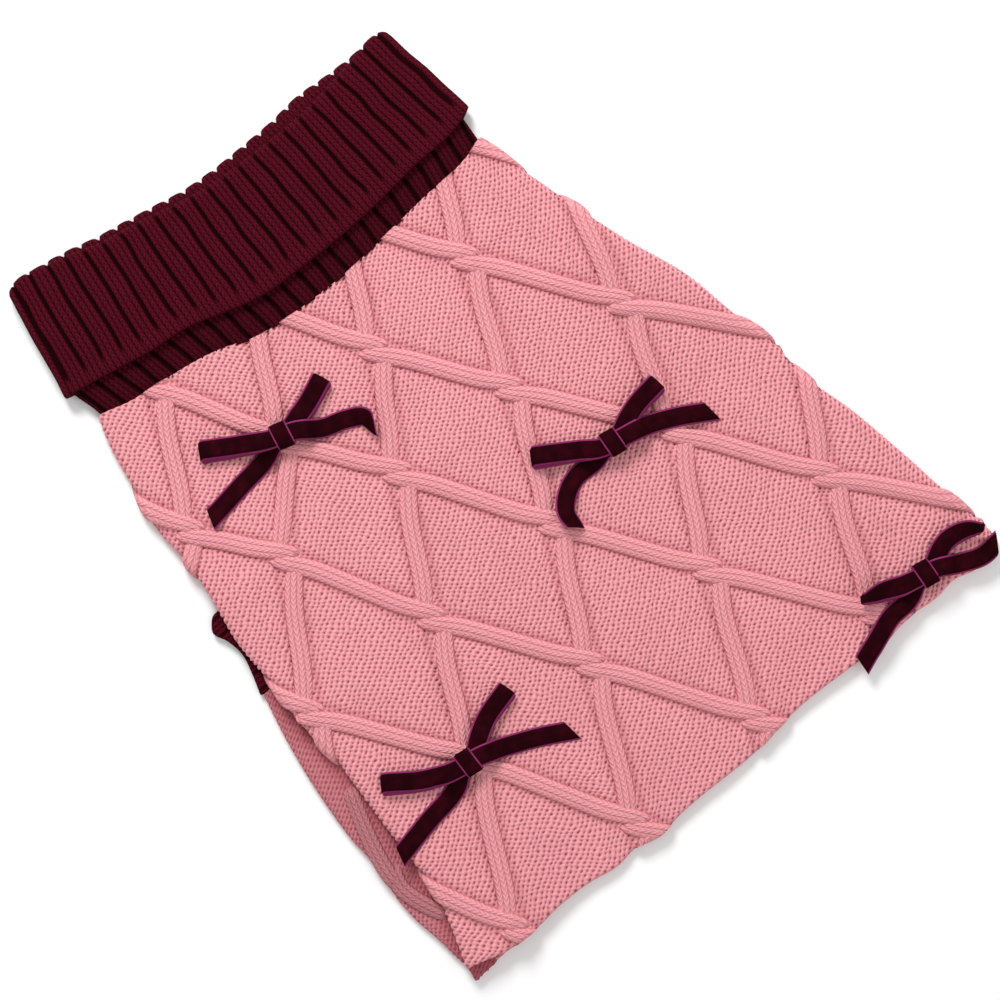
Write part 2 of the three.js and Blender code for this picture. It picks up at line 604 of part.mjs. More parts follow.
// Leg cuff: a short ribbed tube, flattened, from the body's notch outwards to its tip
const CUFF_HEIGHT = 2 * CUFF_WALL + LAYER_GAP;
const CUFF_SECTION = [
  { reach: 0, inset: 0, groove: RIB_DEPTH },
  { reach: 0.55, inset: 0, groove: RIB_DEPTH },
  { reach: 1, inset: 0, groove: RIB_DEPTH },
  { reach: 1, inset: CUFF_WALL, groove: 0 },
  { reach: 0, inset: CUFF_WALL, groove: 0 },
];

function legCuff(name, root, tip) {
  const ribs = ribPlaces(CUFF_RIBS);
  const rings = CUFF_SECTION.map(({ reach, inset, groove }) => {
    const section = {
      low: CUFF_LOW_Y + inset,
      high: CUFF_HIGH_Y - inset,
      top: CUFF_HEIGHT - inset,
      bottom: inset,
      groove,
    };
    return flatRing(section, ribs, 4, (y, z) => [mix(root(y), tip(y), reach), y, z]);
  });
  return skin(name, BURGUNDY_KNIT, rings, false);
}

// Bows: each ribbon is gathered in its knot and lies on the panel's highest points under its width
const KNOT_HALF = 5.3; // inside the knot's band, across the ribbons
const KNOT_LENGTH = 8;
const KNOT_MOUTH = 0.6 * KNOT_LENGTH; // from the knot's middle, where the ribbons begin to turn away
const KNOT_ROUND = 1.2;
const GATHERED = 0.62; // a ribbon's width inside the knot, as a share of its full width
const LOOP_OPENING = 2.2; // between a loop's two layers at its round end
const RIBBON_STEP = 5;
const UP = new THREE.Vector3(0, 0, 1);
const DOWN = new THREE.Vector3(0, 0, -1);

// Levels of the layers in a knot, from the underside of its band
const TAILS_LEVEL = RIBBON_WALL + SEAM_GAP;
const LOOPS_LEVEL = 2 * TAILS_LEVEL;
const KNOT_TOP_LEVEL = LOOPS_LEVEL + 2 * TAILS_LEVEL;
const REST_SPOTS = [-5.5, -3, 0, 3, 5.5]; // where the panel is felt for its height, round a ribbon's middle

function restHeight(x, y) {
  let height = 0;
  for (const across of REST_SPOTS) {
    for (const along of REST_SPOTS) {
      const spot = { x: x + across, y: y + along };
      const inside = Object.values(BACK_FIELDS).every((field) => field(spot) > -1);
      if (!inside) continue;
      height = Math.max(height, backPoints(spot.x, spot.y, reliefAt(spot.x, spot.y)).outer[2]);
    }
  }
  return height + LAYER_GAP;
}

function knotAxis(bow) {
  const turn = THREE.MathUtils.degToRad(bow.turn);
  return new THREE.Vector3(Math.cos(turn), Math.sin(turn), 0);
}

// One arm of a bow, out of the knot's mouth and through its points, in even steps. side is -1 on the left
function armRoute(bow, points, side) {
  const knot = new THREE.Vector3(bow.knot.x, bow.knot.y, 0);
  const mouth = knot.clone().addScaledVector(knotAxis(bow), side * KNOT_MOUTH);
  const outer = points.map(({ x, y }) => new THREE.Vector3(bow.knot.x + x, bow.knot.y + y, 0));
  const curve = new THREE.CatmullRomCurve3([knot, mouth, ...outer]);
  const steps = Math.round(curve.getLength() / RIBBON_STEP);
  return curve.getSpacedPoints(steps).map((spot, index) => {
    const along = index === 0
      ? knotAxis(bow).multiplyScalar(side)
      : curve.getTangentAt(index / steps).setZ(0).normalize();
    const away = spot.distanceTo(knot);
    const spread = THREE.MathUtils.smoothstep(away, KNOT_LENGTH / 2, 1.6 * KNOT_LENGTH);
    return {
      spot,
      along,
      across: new THREE.Vector3(-along.y, along.x, 0).multiplyScalar(side),
      away,
      width: RIBBON_WIDTH * mix(GATHERED, 1, spread),
    };
  });
}

// Sections of a ribbon, each from its spot outwards by the ribbon's thickness
function ribbonRings(stations) {
  return stations.map(({ spot, across, width, out }) => {
    const corner = (side, height) => spot.clone()
      .addScaledVector(across, side * width / 2)
      .addScaledVector(out, height)
      .toArray();
    return [corner(-1, 0), corner(1, 0), corner(1, RIBBON_WALL), corner(-1, RIBBON_WALL)];
  });
}

function tailStations(bow, base) {
  const lay = (arm) => arm.map((station) => {
    const { spot, away } = station;
    const lowered = THREE.MathUtils.smoothstep(away, KNOT_MOUTH, 1.5 * KNOT_LENGTH);
    const resting = Math.max(restHeight(spot.x, spot.y), base - LOOPS_LEVEL - TAILS_LEVEL);
    spot.z = Math.max(restHeight(spot.x, spot.y), mix(base + TAILS_LEVEL, resting, lowered));
    return { ...station, out: UP };
  });
  const left = lay(armRoute(bow, bow.leftTail, -1));
  const right = lay(armRoute(bow, bow.rightTail, 1));
  return [...left.reverse(), ...right.slice(1)];
}

// A loop's layers lie over the panel and over any tail that passes below
function loopHeight(spot, tails) {
  const near = (tail) => Math.hypot(tail.spot.x - spot.x, tail.spot.y - spot.y) < RIBBON_WIDTH + 2;
  const tops = tails.filter(near).map((tail) => tail.spot.z + RIBBON_WALL + LAYER_GAP);
  return Math.max(restHeight(spot.x, spot.y), ...tops);
}

// The loops are one closed band: out along the lower layer, round the loop's end and back over the top
function loopStations(bow, base, tails) {
  const layers = (arm) => {
    const lower = [];
    const upper = [];
    for (const station of arm) {
      const { spot, away } = station;
      const opened = THREE.MathUtils.smoothstep(away, KNOT_LENGTH / 2, 2 * KNOT_LENGTH);
      const floor = Math.max(
        loopHeight(spot, tails),
        mix(base + LOOPS_LEVEL, restHeight(spot.x, spot.y), opened),
      ) + RIBBON_WALL;
      const gap = mix(SEAM_GAP, LOOP_OPENING, opened);
      lower.push({ ...station, spot: spot.clone().setZ(floor), out: DOWN });
      upper.push({ ...station, spot: spot.clone().setZ(floor + gap), out: UP });
    }
    const end = lower[lower.length - 1];
    const spot = end.spot.clone().addScaledVector(end.along, LOOP_OPENING / 2);
    spot.z += LOOP_OPENING / 2;
    return { lower, upper, end: { ...end, spot, out: end.along } };
  };
  const left = layers(armRoute(bow, bow.leftLoop, -1));
  const right = layers(armRoute(bow, bow.rightLoop, 1));
  return [
    ...right.lower, right.end, ...right.upper.reverse(),
    ...left.upper.slice(1), left.end, ...left.lower.reverse().slice(0, -1),
  ];
}

// The knot is a band round the gathered ribbons
function knotRings(bow, base) {
  const along = knotAxis(bow);
  const across = new THREE.Vector3(-along.y, along.x, 0);
  const ring = (end, grow) => {
    const half = KNOT_HALF + grow;
    const low = base + RIBBON_WALL - grow;
    const high = base + KNOT_TOP_LEVEL + grow;
    const round = KNOT_ROUND + grow;
    const outline = [
      [round - half, low], [half - round, low], [half, low + round], [half, high - round],
      [half - round, high], [round - half, high], [-half, high - round], [-half, low + round],
    ];
    return outline.map(([side, z]) => new THREE.Vector3(bow.knot.x, bow.knot.y, z)
      .addScaledVector(along, end * KNOT_LENGTH / 2)
      .addScaledVector(across, side)
      .toArray());
  };
  return [ring(-1, 0), ring(-1, RIBBON_WALL), ring(1, RIBBON_WALL), ring(1, 0)];
}

function addBow(group, bow) {
  const axis = knotAxis(bow);
  const feet = [-1, -0.5, 0, 0.5, 1].map((share) => share * KNOT_LENGTH);
  const heights = feet.map((foot) => restHeight(bow.knot.x + axis.x * foot, bow.knot.y + axis.y * foot));
  const base = Math.max(...heights);
  const tails = tailStations(bow, base);
  const loops = loopStations(bow, base, tails);
  group.add(skin(`${bow.name}_loops`, VELVET, ribbonRings(loops), false));
  group.add(skin(`${bow.name}_tails`, VELVET, ribbonRings(tails), true));
  group.add(skin(`${bow.name}_knot`, VELVET, knotRings(bow, base), false));
}

// The tables' zero lies a little off the middle of the footprint, so the whole garment is moved onto it
const FOOTPRINT_MIDDLE = { x: -0.4, y: -0.6 };

const sweater = new THREE.Group();
sweater.position.set(-FOOTPRINT_MIDDLE.x, -FOOTPRINT_MIDDLE.y, 0);
sweater.add(backPanel(), bellyPanel(), collar());
const notchLeft = (y) => look(LEFT_EDGE, 'y', y, 'x') + NOTCH_DEPTH - SEAM_GAP;
const notchRight = (y) => look(RIGHT_EDGE, 'y', y, 'x') - NOTCH_DEPTH + SEAM_GAP;
const leftTip = (y) => lookHeld(CUFF_TIP, 'y', y, 'x');
const rightTip = (y) => look(RIGHT_EDGE, 'y', y, 'x') - CUFF_HIDDEN;
sweater.add(legCuff('leg_cuff_left', notchLeft, leftTip));
sweater.add(legCuff('leg_cuff_right', notchRight, rightTip));
for (const bow of BOWS) addBow(sweater, bow);

export default sweater;
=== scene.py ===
"""Knitted dog sweater, laid flat: a cable lattice, a turned-down ribbed collar, leg cuffs and velvet bows.

Places are worked out in millimetres, in the garment's own tables, and become metres where a mesh is made.
X runs across the garment, Y from the hem to the neck, Z up from the surface that it lies on.
"""

import math

import bpy
import numpy as np
from bpy.props import FloatProperty, FloatVectorProperty, IntProperty, PointerProperty
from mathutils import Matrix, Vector
from mathutils.geometry import delaunay_2d_cdt


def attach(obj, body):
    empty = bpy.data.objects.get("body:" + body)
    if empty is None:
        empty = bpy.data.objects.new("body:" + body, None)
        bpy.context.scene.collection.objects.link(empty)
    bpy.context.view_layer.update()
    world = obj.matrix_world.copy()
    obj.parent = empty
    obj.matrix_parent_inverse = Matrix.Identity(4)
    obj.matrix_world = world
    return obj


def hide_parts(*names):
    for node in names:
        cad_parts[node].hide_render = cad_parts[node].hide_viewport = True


bl_info = {
    "name": "Knitted dog sweater",
    "version": (1, 0, 0),
    "blender": (4, 5, 0),
    "location": "3D View > Sidebar > Sweater",
    "description": "Knits the cloth, collar, cuffs and velvet bows of a dog sweater over its plain solids",
    "category": "Object",
}

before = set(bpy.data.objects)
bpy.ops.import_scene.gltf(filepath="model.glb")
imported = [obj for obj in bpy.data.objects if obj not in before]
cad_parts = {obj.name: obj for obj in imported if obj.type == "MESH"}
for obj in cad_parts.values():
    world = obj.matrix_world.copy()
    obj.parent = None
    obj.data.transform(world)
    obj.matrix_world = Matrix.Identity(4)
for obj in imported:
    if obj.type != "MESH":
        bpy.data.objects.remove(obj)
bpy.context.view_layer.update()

MM = 0.001
FOOTPRINT_SHIFT = (0.4, 0.6)
TURN = 2 * math.pi


def table(columns, *rows):
    """A short table with named columns and a row for each place."""
    return {name: np.array(values, float) for name, values in zip(columns.split(), zip(*rows))}


# Edges of the back panel: where each edge lies at a height y
LEFT_EDGE = table(
    "y x", (-190, -162), (-172, -156), (-160, -151.2), (-140, -144.8), (-121, -141.7), (-97, -139.4),
    (-63, -136.4), (-36, -137), (-17, -134.3), (11, -132), (27, -128.2), (53, -125.2), (75, -124.6),
    (95, -119.4), (116, -113.8), (129, -108.7), (145, -102),
)
RIGHT_EDGE = table(
    "y x", (-200, 156), (-180, 155.4), (-165, 153.4), (-134, 149.9), (-103, 146), (-76, 141.2),
    (-54, 141.2), (-34, 136.8), (-5, 132), (22, 123.6), (46, 118.2), (65, 113.6), (90, 108.2),
    (105, 105), (125, 101),
)
# The belly panel reaches further out on the left, where it is turned up beside the back panel
STRIP_EDGE = table(
    "y x", (-190, -162), (-172, -156.4), (-165, -157), (-154, -157.6), (-141, -159), (-126, -158.6),
    (-115, -156.3), (-92, -155.6), (-68, -152.6), (-39, -146.6), (-18, -140.6),
)
# Neck seam and hem: the height of each at a place x across the garment
NECK_SEAM = table(
    "x y", (-125, 129.5), (-108, 126.6), (-94, 121.9), (-78, 119), (-46, 111), (-32, 104.8),
    (-16, 101.6), (3, 99.3), (20, 98.2), (42, 98.6), (66, 99.3), (98, 100.2), (104, 101.8), (120, 105.4),
)
HEM = table(
    "x y", (-170, -169), (-156, -172.2), (-149, -174.4), (-138, -178.6), (-125, -180.4), (-103, -180.2),
    (-88, -181.9), (-74, -185), (-62, -184.6), (-52, -187.8), (-37, -187), (11, -189.4), (37, -187.9),
    (64, -190.1), (85, -192.6), (101, -191.6), (117, -193.5), (128, -192.9), (139, -196.2),
    (152, -193.4), (170, -189),
)
# Turned-down collar: its free edge, its fold, and how far the lower layer's fold shows past the upper one
COLLAR_FREE = table(
    "x y", (-114.5, 143.6), (-100, 140.4), (-71, 132.9), (-51, 129.2), (-33, 122.4), (-16, 116.9),
    (3.5, 114.5), (49, 112.4), (74, 113.4), (105, 114.6), (111.5, 117),
)
COLLAR_FOLD = table(
    "x y", (-102, 197), (-94, 198.6), (-80, 194.8), (-68, 190.7), (-53, 185.1), (-38.6, 181.5),
    (-22.8, 176.9), (-10.6, 173.1), (6.5, 169.9), (23, 168.3), (53, 166.3), (83, 168.5), (104, 169.6),
    (107.5, 168.4),
)
COLLAR_PEEK = table(
    "x y", (-95, 0), (-60, 3.5), (-30, 4), (0, 5.5), (40, 7), (55, 8), (76, 4), (98, 0),
)
# Cable lattice: each row of crossings, its height, the pitch of its cables, its middle and its slope
LATTICE = table(
    "row y pitch middle slope", (0, 121, 57, 5, 0), (1, 65, 59, 4.5, 0.04), (2, 13, 64, 6, -0.1),
    (3, -49.5, 70, 10.5, -0.085), (4, -110.5, 69, 14, -0.07), (5, -178, 73, 18.5, -0.03),
)
# Heights of the back panel's outer and inner faces, by the distance from its side edge
BACK_TOP = table("inside z", (3.5, 7.2), (9, 7.3), (25, 6.5), (60, 5.6), (200, 5.4))
BACK_UNDER = table("inside z", (0, 2.7), (2.4, 2.7), (3.8, 4.4), (9, 4.9), (25, 4.1), (60, 3.2), (200, 3))
EDGE_HEIGHT = 2.7
EDGE_ROLL = 3.5
LEFT_LIFT = table("y lift", (-200, 3), (27, 3), (60, 0), (140, 0))
RIGHT_LIFT = table("y lift", (-200, 0), (-50, 0), (-20, 2.2), (28, 2.2), (58, 0), (140, 0))
LIFT_REACH = 70
# Cable on the turned-up strip: its middle and how much of it is raised, by height
STRIP_CABLE = table(
    "y x rise", (-190, -136, 0), (-160, -142, 0), (-150, -145.5, 0), (-142, -149.5, 0), (-133, -152.6, 1),
    (-124, -154, 1), (-116, -153.6, 1), (-107, -151.8, 1), (-94, -147.8, 0.9), (-84, -144, 0),
    (-72, -139, 0), (-18, -125, 0),
)
CUFF_TIP = table("y x", (-17, -141.8), (-8, -138.2), (4, -134.9), (12, -135.8), (20, -138), (25.5, -133.4))

WALL = 2.4
COLLAR_WALL = 2.2
CUFF_WALL = 2.0
SEAM_GAP = 0.3
LAYER_GAP = 0.4
CABLE_WIDTH = 8.8
COLLAR_RIBS = 23
CUFF_RIBS = 5
CUFF_LOW_Y = -17
CUFF_HIGH_Y = 25.5
CUFF_HIDDEN = 3
NOTCH_DEPTH = 24
RIBBON_WIDTH = 9.5
RIBBON_WALL = 1.0
PLAIN_STITCH, PLAIN_COURSE = 3.7, 2.6  # a stitch's width and height where the rows aren't spread to fit

# Bows: each knot's place and turn, then each loop and tail as points from the knot. The roll turns the
# ribbon over to one side, in degrees
BOWS = {
    "bow_1": {
        "knot": (-53, 64), "turn": -20,
        "left_loop": table("x y roll", (-16.5, 9.5, 0), (-31, 19.5, 0)),
        "right_loop": table("x y roll", (18, 3, 0), (30, 7, 0)),
        "left_tail": table("x y roll", (-12, -2.5, 0), (-29, -4, 0), (-50, -6, 0)),
        "right_tail": table("x y roll", (16, -10, 0), (27, -14.5, 0), (33.5, -19, 25), (34, -26, 60)),
    },
    "bow_2": {
        "knot": (55.5, -40.5), "turn": -13,
        "left_loop": table("x y roll", (-14.5, 8.5, 0), (-30, 19.5, 0)),
        "right_loop": table("x y roll", (20.5, 5.5, 0), (32.5, 6.5, 0)),
        "left_tail": table(
            "x y roll", (-12, -1, 0), (-23.5, -0.5, 0), (-32, -4, 0), (-37, -8.5, 20), (-39, -17, 40),
        ),
        "right_tail": table("x y roll", (17, -5, 0), (29, -11, 0), (43.5, -20.5, 0)),
    },
    "bow_3": {
        "knot": (-91.5, -103), "turn": -10,
        "left_loop": table("x y roll", (-18.5, 7, 0), (-34, 19, 0)),
        "right_loop": table("x y roll", (19, 9, 0), (34.5, 12.5, 0)),
        "left_tail": table("x y roll", (-12, -5, 0), (-31.5, -7.5, 0), (-52, -10.5, 0)),
        "right_tail": table("x y roll", (19, -7.5, 0), (31.5, -14, 0), (44.5, -22, 0)),
    },
    "bow_4": {
        "knot": (120, -181.3), "turn": -13, "right_tail_cut": -0.7,
        "left_loop": table("x y roll", (-12.5, 4, 0), (-20, 8, 18), (-28, 11.5, 58)),
        "right_loop": table("x y roll", (19, 5, 8), (27, 3, 30), (32, -0.5, 62)),
        "left_tail": table("x y roll", (-15, -4, 0), (-24.5, -4, 0), (-35.5, -7, 0), (-49.5, -11.5, 0)),
        "right_tail": table("x y roll", (15, -7.5, 0), (26, -12, 0), (33.5, -11.5, 20)),
    },
}


# Small helpers
def mix(a, b, share):
    return a + (b - a) * share


def ease(low, high, value):
    """0 below low, 1 above high, and a smooth step between them."""
    share = np.clip((value - low) / (high - low), 0, 1)
    return share * share * (3 - 2 * share)


def look(rows, key, value, column):
    """Reads a column of a table at values of its key column, in straight steps, carried on past its ends."""
    x, y = rows[key], rows[column]
    value = np.asarray(value, float)
    at = np.clip(np.searchsorted(x, value) - 1, 0, len(x) - 2)
    return y[at] + (value - x[at]) * (y[at + 1] - y[at]) / (x[at + 1] - x[at])


def held(rows, key, value, column):
    """As look, but the end rows hold past the ends."""
    return np.interp(value, rows[key], rows[column])


def curve(rows, key, value, column):
    """As look, but on a smooth curve through the rows."""
    x, y = rows[key], rows[column]
    slope = np.gradient(y, x)
    value = np.asarray(value, float)
    inside = np.clip(value, x[0], x[-1])
    at = np.clip(np.searchsorted(x, inside) - 1, 0, len(x) - 2)
    step = x[at + 1] - x[at]
    t = (inside - x[at]) / step
    rise = (1 + 2 * t) * (1 - t) ** 2 * y[at] + t * (1 - t) ** 2 * step * slope[at]
    rise = rise + t * t * (3 - 2 * t) * y[at + 1] - t * t * (1 - t) * step * slope[at + 1]
    return rise + (value - inside) * np.where(value < x[0], slope[0], slope[-1])


def curve_held(rows, key, value, column):
    return curve(rows, key, np.clip(value, rows[key][0], rows[key][-1]), column)


def noise(x, y, seed):
    """Soft, seeded noise from -1 to 1, with one random value at each whole place."""
    values = np.random.default_rng(seed).uniform(-1, 1, (64, 64))
    low_x, low_y = np.floor(x).astype(int), np.floor(y).astype(int)
    share_x, share_y = ease(0, 1, x - low_x), ease(0, 1, y - low_y)
    rows = [
        mix(values[low_x % 64, (low_y + k) % 64], values[(low_x + 1) % 64, (low_y + k) % 64], share_x)
        for k in (0, 1)
    ]
    return mix(rows[0], rows[1], share_y)


# Sizes and colours that can be changed
def length(name, description, size):
    return FloatProperty(name=name, description=description, default=size * MM, unit="LENGTH")


def colour(name, description, default):
    return FloatVectorProperty(name=name, description=description, default=default, subtype="COLOR")


class KnitSettings(bpy.types.PropertyGroup):
    """The pink body cloth."""

    wale_at_hem: length("Stitch width at hem", "Width of a stitch at the hem", 3.95)
    wale_at_neck: length("Stitch width at neck", "Width of a stitch at the neck", 3.5)
    courses: IntProperty(name="Courses", description="Rows of stitches from the hem to the neck",
                         default=112, min=20)
    purl_rise: length("Purl rise", "Height of a purl bump over its gaps", 1.0)
    pink: colour("Pink", "Colour of the body yarn", (0.81, 0.335, 0.365))
    # painted shade: the colour that the recesses between the body's stitches are darkened to
    pink_gap_shade: colour("Pink gap", "Colour between the body's stitches", (0.27, 0.035, 0.055))
    burgundy: colour("Burgundy", "Colour of the rib yarn", (0.088, 0.0045, 0.0125))
    # painted shade: the colour that the recesses between the rib stitches are darkened to
    burgundy_gap_shade: colour("Burgundy gap", "Colour between the rib stitches", (0.012, 0.0006, 0.0016))


class CableSettings(bpy.types.PropertyGroup):
    """The cables and the ribs."""

    rise: length("Cable rise", "Height of a cable over the cloth", 2.2)
    stitch: length("Stitch length", "Length of a stitch along a cable", 2.75)
    stitch_rise: length("Stitch rise", "Height of a knit stitch over its gaps", 0.3)
    rib_depth: length("Rib depth", "Depth of the channels between the ribs", 1.5)


class RibbonSettings(bpy.types.PropertyGroup):
    """The velvet ribbon."""

    velvet: colour("Velvet", "Colour of the pile", (0.0135, 0.0004, 0.0019))
    selvage: colour("Selvage", "Colour of the woven edge and the back", (0.37, 0.042, 0.17))
    selvage_width: length("Selvage width", "Width of each woven edge", 0.75)


class StageSettings(bpy.types.PropertyGroup):
    """The floor, the lights and the camera."""

    floor: colour("Floor", "Colour of the floor", (0.92, 0.92, 0.92))
    view_width: length("View width", "What the camera sees across, at the floor", 460)
    view_turn: FloatProperty(name="View turn", description="Turn of the camera about its line of sight",
                             default=math.radians(-42.7), unit="ROTATION")
    lens: FloatProperty(name="Lens", description="The camera's focal length in millimetres", default=90)


# Making and finishing meshes
def add_grid(name, points, stitches, values=None):
    """A grid primitive with its points moved to rows and columns of places, and a stitch for each."""
    rows, columns = points.shape[:2]
    bpy.ops.object.select_all(action="DESELECT")
    bpy.ops.mesh.primitive_grid_add(x_subdivisions=columns - 1, y_subdivisions=rows - 1, size=1)
    piece = bpy.context.object
    piece.name = name
    mesh = piece.data
    mesh.name = name
    places = (points + (*FOOTPRINT_SHIFT, 0)) * MM
    mesh.vertices.foreach_set("co", places.astype(np.float32).ravel())
    corner = np.empty(len(mesh.loops), np.int32)
    mesh.loops.foreach_get("vertex_index", corner)
    layer = mesh.uv_layers.active
    layer.name = "Stitches"
    layer.data.foreach_set("uv", stitches.reshape(-1, 2)[corner].astype(np.float32).ravel())
    for key, value in (values or {}).items():
        mesh.attributes.new(key, "FLOAT", "POINT").data.foreach_set("value", value.astype(np.float32).ravel())
    mesh.update()
    return piece


def join(pieces, name):
    """Joins pieces into the first one."""
    bpy.ops.object.select_all(action="DESELECT")
    for piece in pieces:
        piece.select_set(True)
    bpy.context.view_layer.objects.active = pieces[0]
    bpy.ops.object.join()
    pieces[0].name = name
    pieces[0].data.name = name
    return pieces[0]


def close_up(piece, fill=True):
    """Welds what meets, closes open ends and turns the faces outwards."""
    bpy.ops.object.select_all(action="DESELECT")
    piece.select_set(True)
    bpy.context.view_layer.objects.active = piece
    bpy.ops.object.mode_set(mode="EDIT")
    bpy.ops.mesh.select_all(action="SELECT")
    bpy.ops.mesh.remove_doubles(threshold=0.001 * MM)
    if fill:
        bpy.ops.mesh.select_all(action="SELECT")
        bpy.ops.mesh.fill_holes(sides=0)
    bpy.ops.mesh.select_all(action="SELECT")
    bpy.ops.mesh.normals_make_consistent(inside=False)
    bpy.ops.object.mode_set(mode="OBJECT")
    bpy.ops.object.shade_smooth()
    return piece


def declare(piece, material, slot, *nodes):
    """Gives a piece its finish, hangs it under the root and hides the solids that it stands for."""
    piece.data.materials.clear()
    piece.data.materials.append(material)
    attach(piece, "root")
    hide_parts(*nodes)


# The garment's outlines
def left_edge(y):
    return curve(LEFT_EDGE, "y", y, "x")


def right_edge(y):
    return curve(RIGHT_EDGE, "y", y, "x")


def hem_line(x):
    return curve(HEM, "x", x, "y")


def neck_seam(x):
    return curve(NECK_SEAM, "x", x, "y")


# The cable lattice
def lattice_point(row, place):
    middle = look(LATTICE, "row", row, "middle")
    x = middle + place * look(LATTICE, "row", row, "pitch")
    return x, look(LATTICE, "row", row, "y") + look(LATTICE, "row", row, "slope") * (x - middle)


def lattice_place(x, y):
    """The row number of a point and its place along that row."""
    low = np.full(np.shape(x), -3.0)
    high = np.full(np.shape(x), 8.0)
    for _ in range(24):
        row = (low + high) / 2
        middle = look(LATTICE, "row", row, "middle")
        above = look(LATTICE, "row", row, "y") + look(LATTICE, "row", row, "slope") * (x - middle) > y
        low = np.where(above, row, low)
        high = np.where(above, high, row)
    return low, (x - look(LATTICE, "row", low, "middle")) / look(LATTICE, "row", low, "pitch")


def cable_distances(x, y):
    """Distances to the nearest cable of each family, in mm, signed towards +X."""
    row, place = lattice_place(x, y)
    pitch = look(LATTICE, "row", row, "pitch")
    drop = 2 * (look(LATTICE, "row", row - 0.25, "y") - look(LATTICE, "row", row + 0.25, "y"))
    across = 1 / np.hypot(1 / pitch, 0.5 / drop)
    over = place - row / 2 + 0.5
    under = place + row / 2 - 0.5
    return (over - np.round(over)) * across, (under - np.round(under)) * across


# The back panel's face
NECK_TUCK = 1.2  # the cloth runs on this far under the collar's ribs
HEM_ROUND, HEM_DROP = 2.2, 1.1  # the hem's edge rounds off over this far, by this much
END_CLEAR = 0.1
END_SPREAD = 0.03  # what runs on past the hem or the neck is pressed together there
EDGE_WRAP = 2.5  # how far down a cable wraps round a side edge
EDGE_SINK = -1.2  # what lies further past the edge sinks this deep into it


def back_height(share, x):
    """The height y of a line that lies this share of the way from the hem to the neck seam."""
    return mix(hem_line(x), neck_seam(x) + NECK_TUCK, share)


def back_share(x, y):
    hem = hem_line(x)
    return (y - hem) / (neck_seam(x) + NECK_TUCK - hem)


def back_sides(y):
    return left_edge(y), right_edge(y)


def unevenness(x, y):
    """Soft waves, as cloth has that was laid down by hand."""
    wave = np.sin(x / 17 + 0.8 * np.sin(y / 29)) * np.sin(y / 21 + 1.3)
    return 0.22 * wave + 0.16 * np.sin(x / 41 - y / 33)


def back_face(x, y):
    """Height of the face without its knitting, the side that it leans to, and how far it leans."""
    left, right = back_sides(y)
    side = np.where(x - left < right - x, -1, 1)
    inside = np.minimum(x - left, right - x)
    lift = np.where(side < 0, held(LEFT_LIFT, "y", y, "lift"), held(RIGHT_LIFT, "y", y, "lift"))
    lift = lift * np.clip(1 - inside / LIFT_REACH, 0, 1)
    lean = np.clip(1 - inside / EDGE_ROLL, 0, 1)
    flat = held(BACK_TOP, "inside", inside, "z") + unevenness(x, y) * ease(0, 12, inside)
    z = EDGE_HEIGHT + (flat - EDGE_HEIGHT) * np.sqrt(1 - lean * lean) + lift
    from_hem = y - hem_line(x)
    z = z - HEM_DROP * np.clip(1 - from_hem / HEM_ROUND, 0, 1) ** 2
    return z, side, lean


def on_back(x, y, height):
    """Places on the back panel, raised along its face. What lies past a side edge wraps round it."""
    hem = hem_line(x)
    neck = neck_seam(x) + NECK_TUCK
    inside = np.clip(y, hem + END_CLEAR, neck - END_CLEAR)
    y = inside + END_SPREAD * (y - inside)
    left, right = back_sides(y)
    kept = np.clip(x, left, right)
    z, side, lean = back_face(kept, y)
    past = np.abs(x - kept)
    height = np.minimum(height, mix(height, EDGE_SINK, ease(EDGE_WRAP, 2.4 * EDGE_WRAP, past)))
    past = np.minimum(past, EDGE_WRAP)
    return np.stack([kept + side * height * lean, y, z - past + height * np.sqrt(1 - lean * lean)], -1)


# Purl bumps slant, as the yarn's twist makes them: shares of the waves along the slant, across it and upwards
SLANT_SHARE, CROSS_SHARE, ROW_SHARE = 0.6, 0.3, 0.1
STROKE_SLANT = 1.9
COLUMN_FADE = 0.75  # how much lower a knit stroke is at its column's edge


def purl_height(u, v):
    """Relief of the purl bumps, from -1 in a gap to 1 on a bump."""
    slanted = SLANT_SHARE * np.cos(TURN * (u - v)) + CROSS_SHARE * np.cos(TURN * (u + v))
    return slanted + ROW_SHARE * np.cos(TURN * v)


def knit_height(u, v):
    """Relief of knit stitches: slanted strokes on both sides of each column's middle, from 0 to 1."""
    x = np.abs(u - np.round(u))
    stroke = 0.5 + 0.5 * np.cos(TURN * (v + STROKE_SLANT * x))
    edge = (2 * x) ** 4
    return (1 - COLUMN_FADE * edge) * (0.5 + 0.5 * stroke)


# The back panel: reverse stocking stitch between the cables
EDGE_COLUMNS = np.array([0, 0.12, 0.45, 1.0, 1.7, 2.6, 3.6])
LATTICE_INSET = 4.4
STEPS_A_WALE = 3
STEPS_A_COURSE = 3
STRAY_ACROSS, STRAY_UP = 0.16, 0.22  # how far stitches stray, in stitches
LOOSENESS = 0.4  # how much the bumps' heights differ
VALLEY_DEPTH, VALLEY_WIDTH = 0.75, 1.7  # the dip along each cable, whose colour also gets painted shade
HOLE_DEPTH, HOLE_WIDTH = 0.5, 0.9  # the small gaps on one side of the cables, whose colour also gets painted shade
PILLOW_RISE, PILLOW_REACH = 0.45, 16  # each diamond swells towards its middle
UNDER_SPACING = 12  # between the points of the plain inner face


def wale_width(share, settings):
    return mix(settings.wale_at_hem, settings.wale_at_neck, share) / MM


def wale_middle(share):
    return mix(LATTICE["middle"][-1], LATTICE["middle"][0], share)


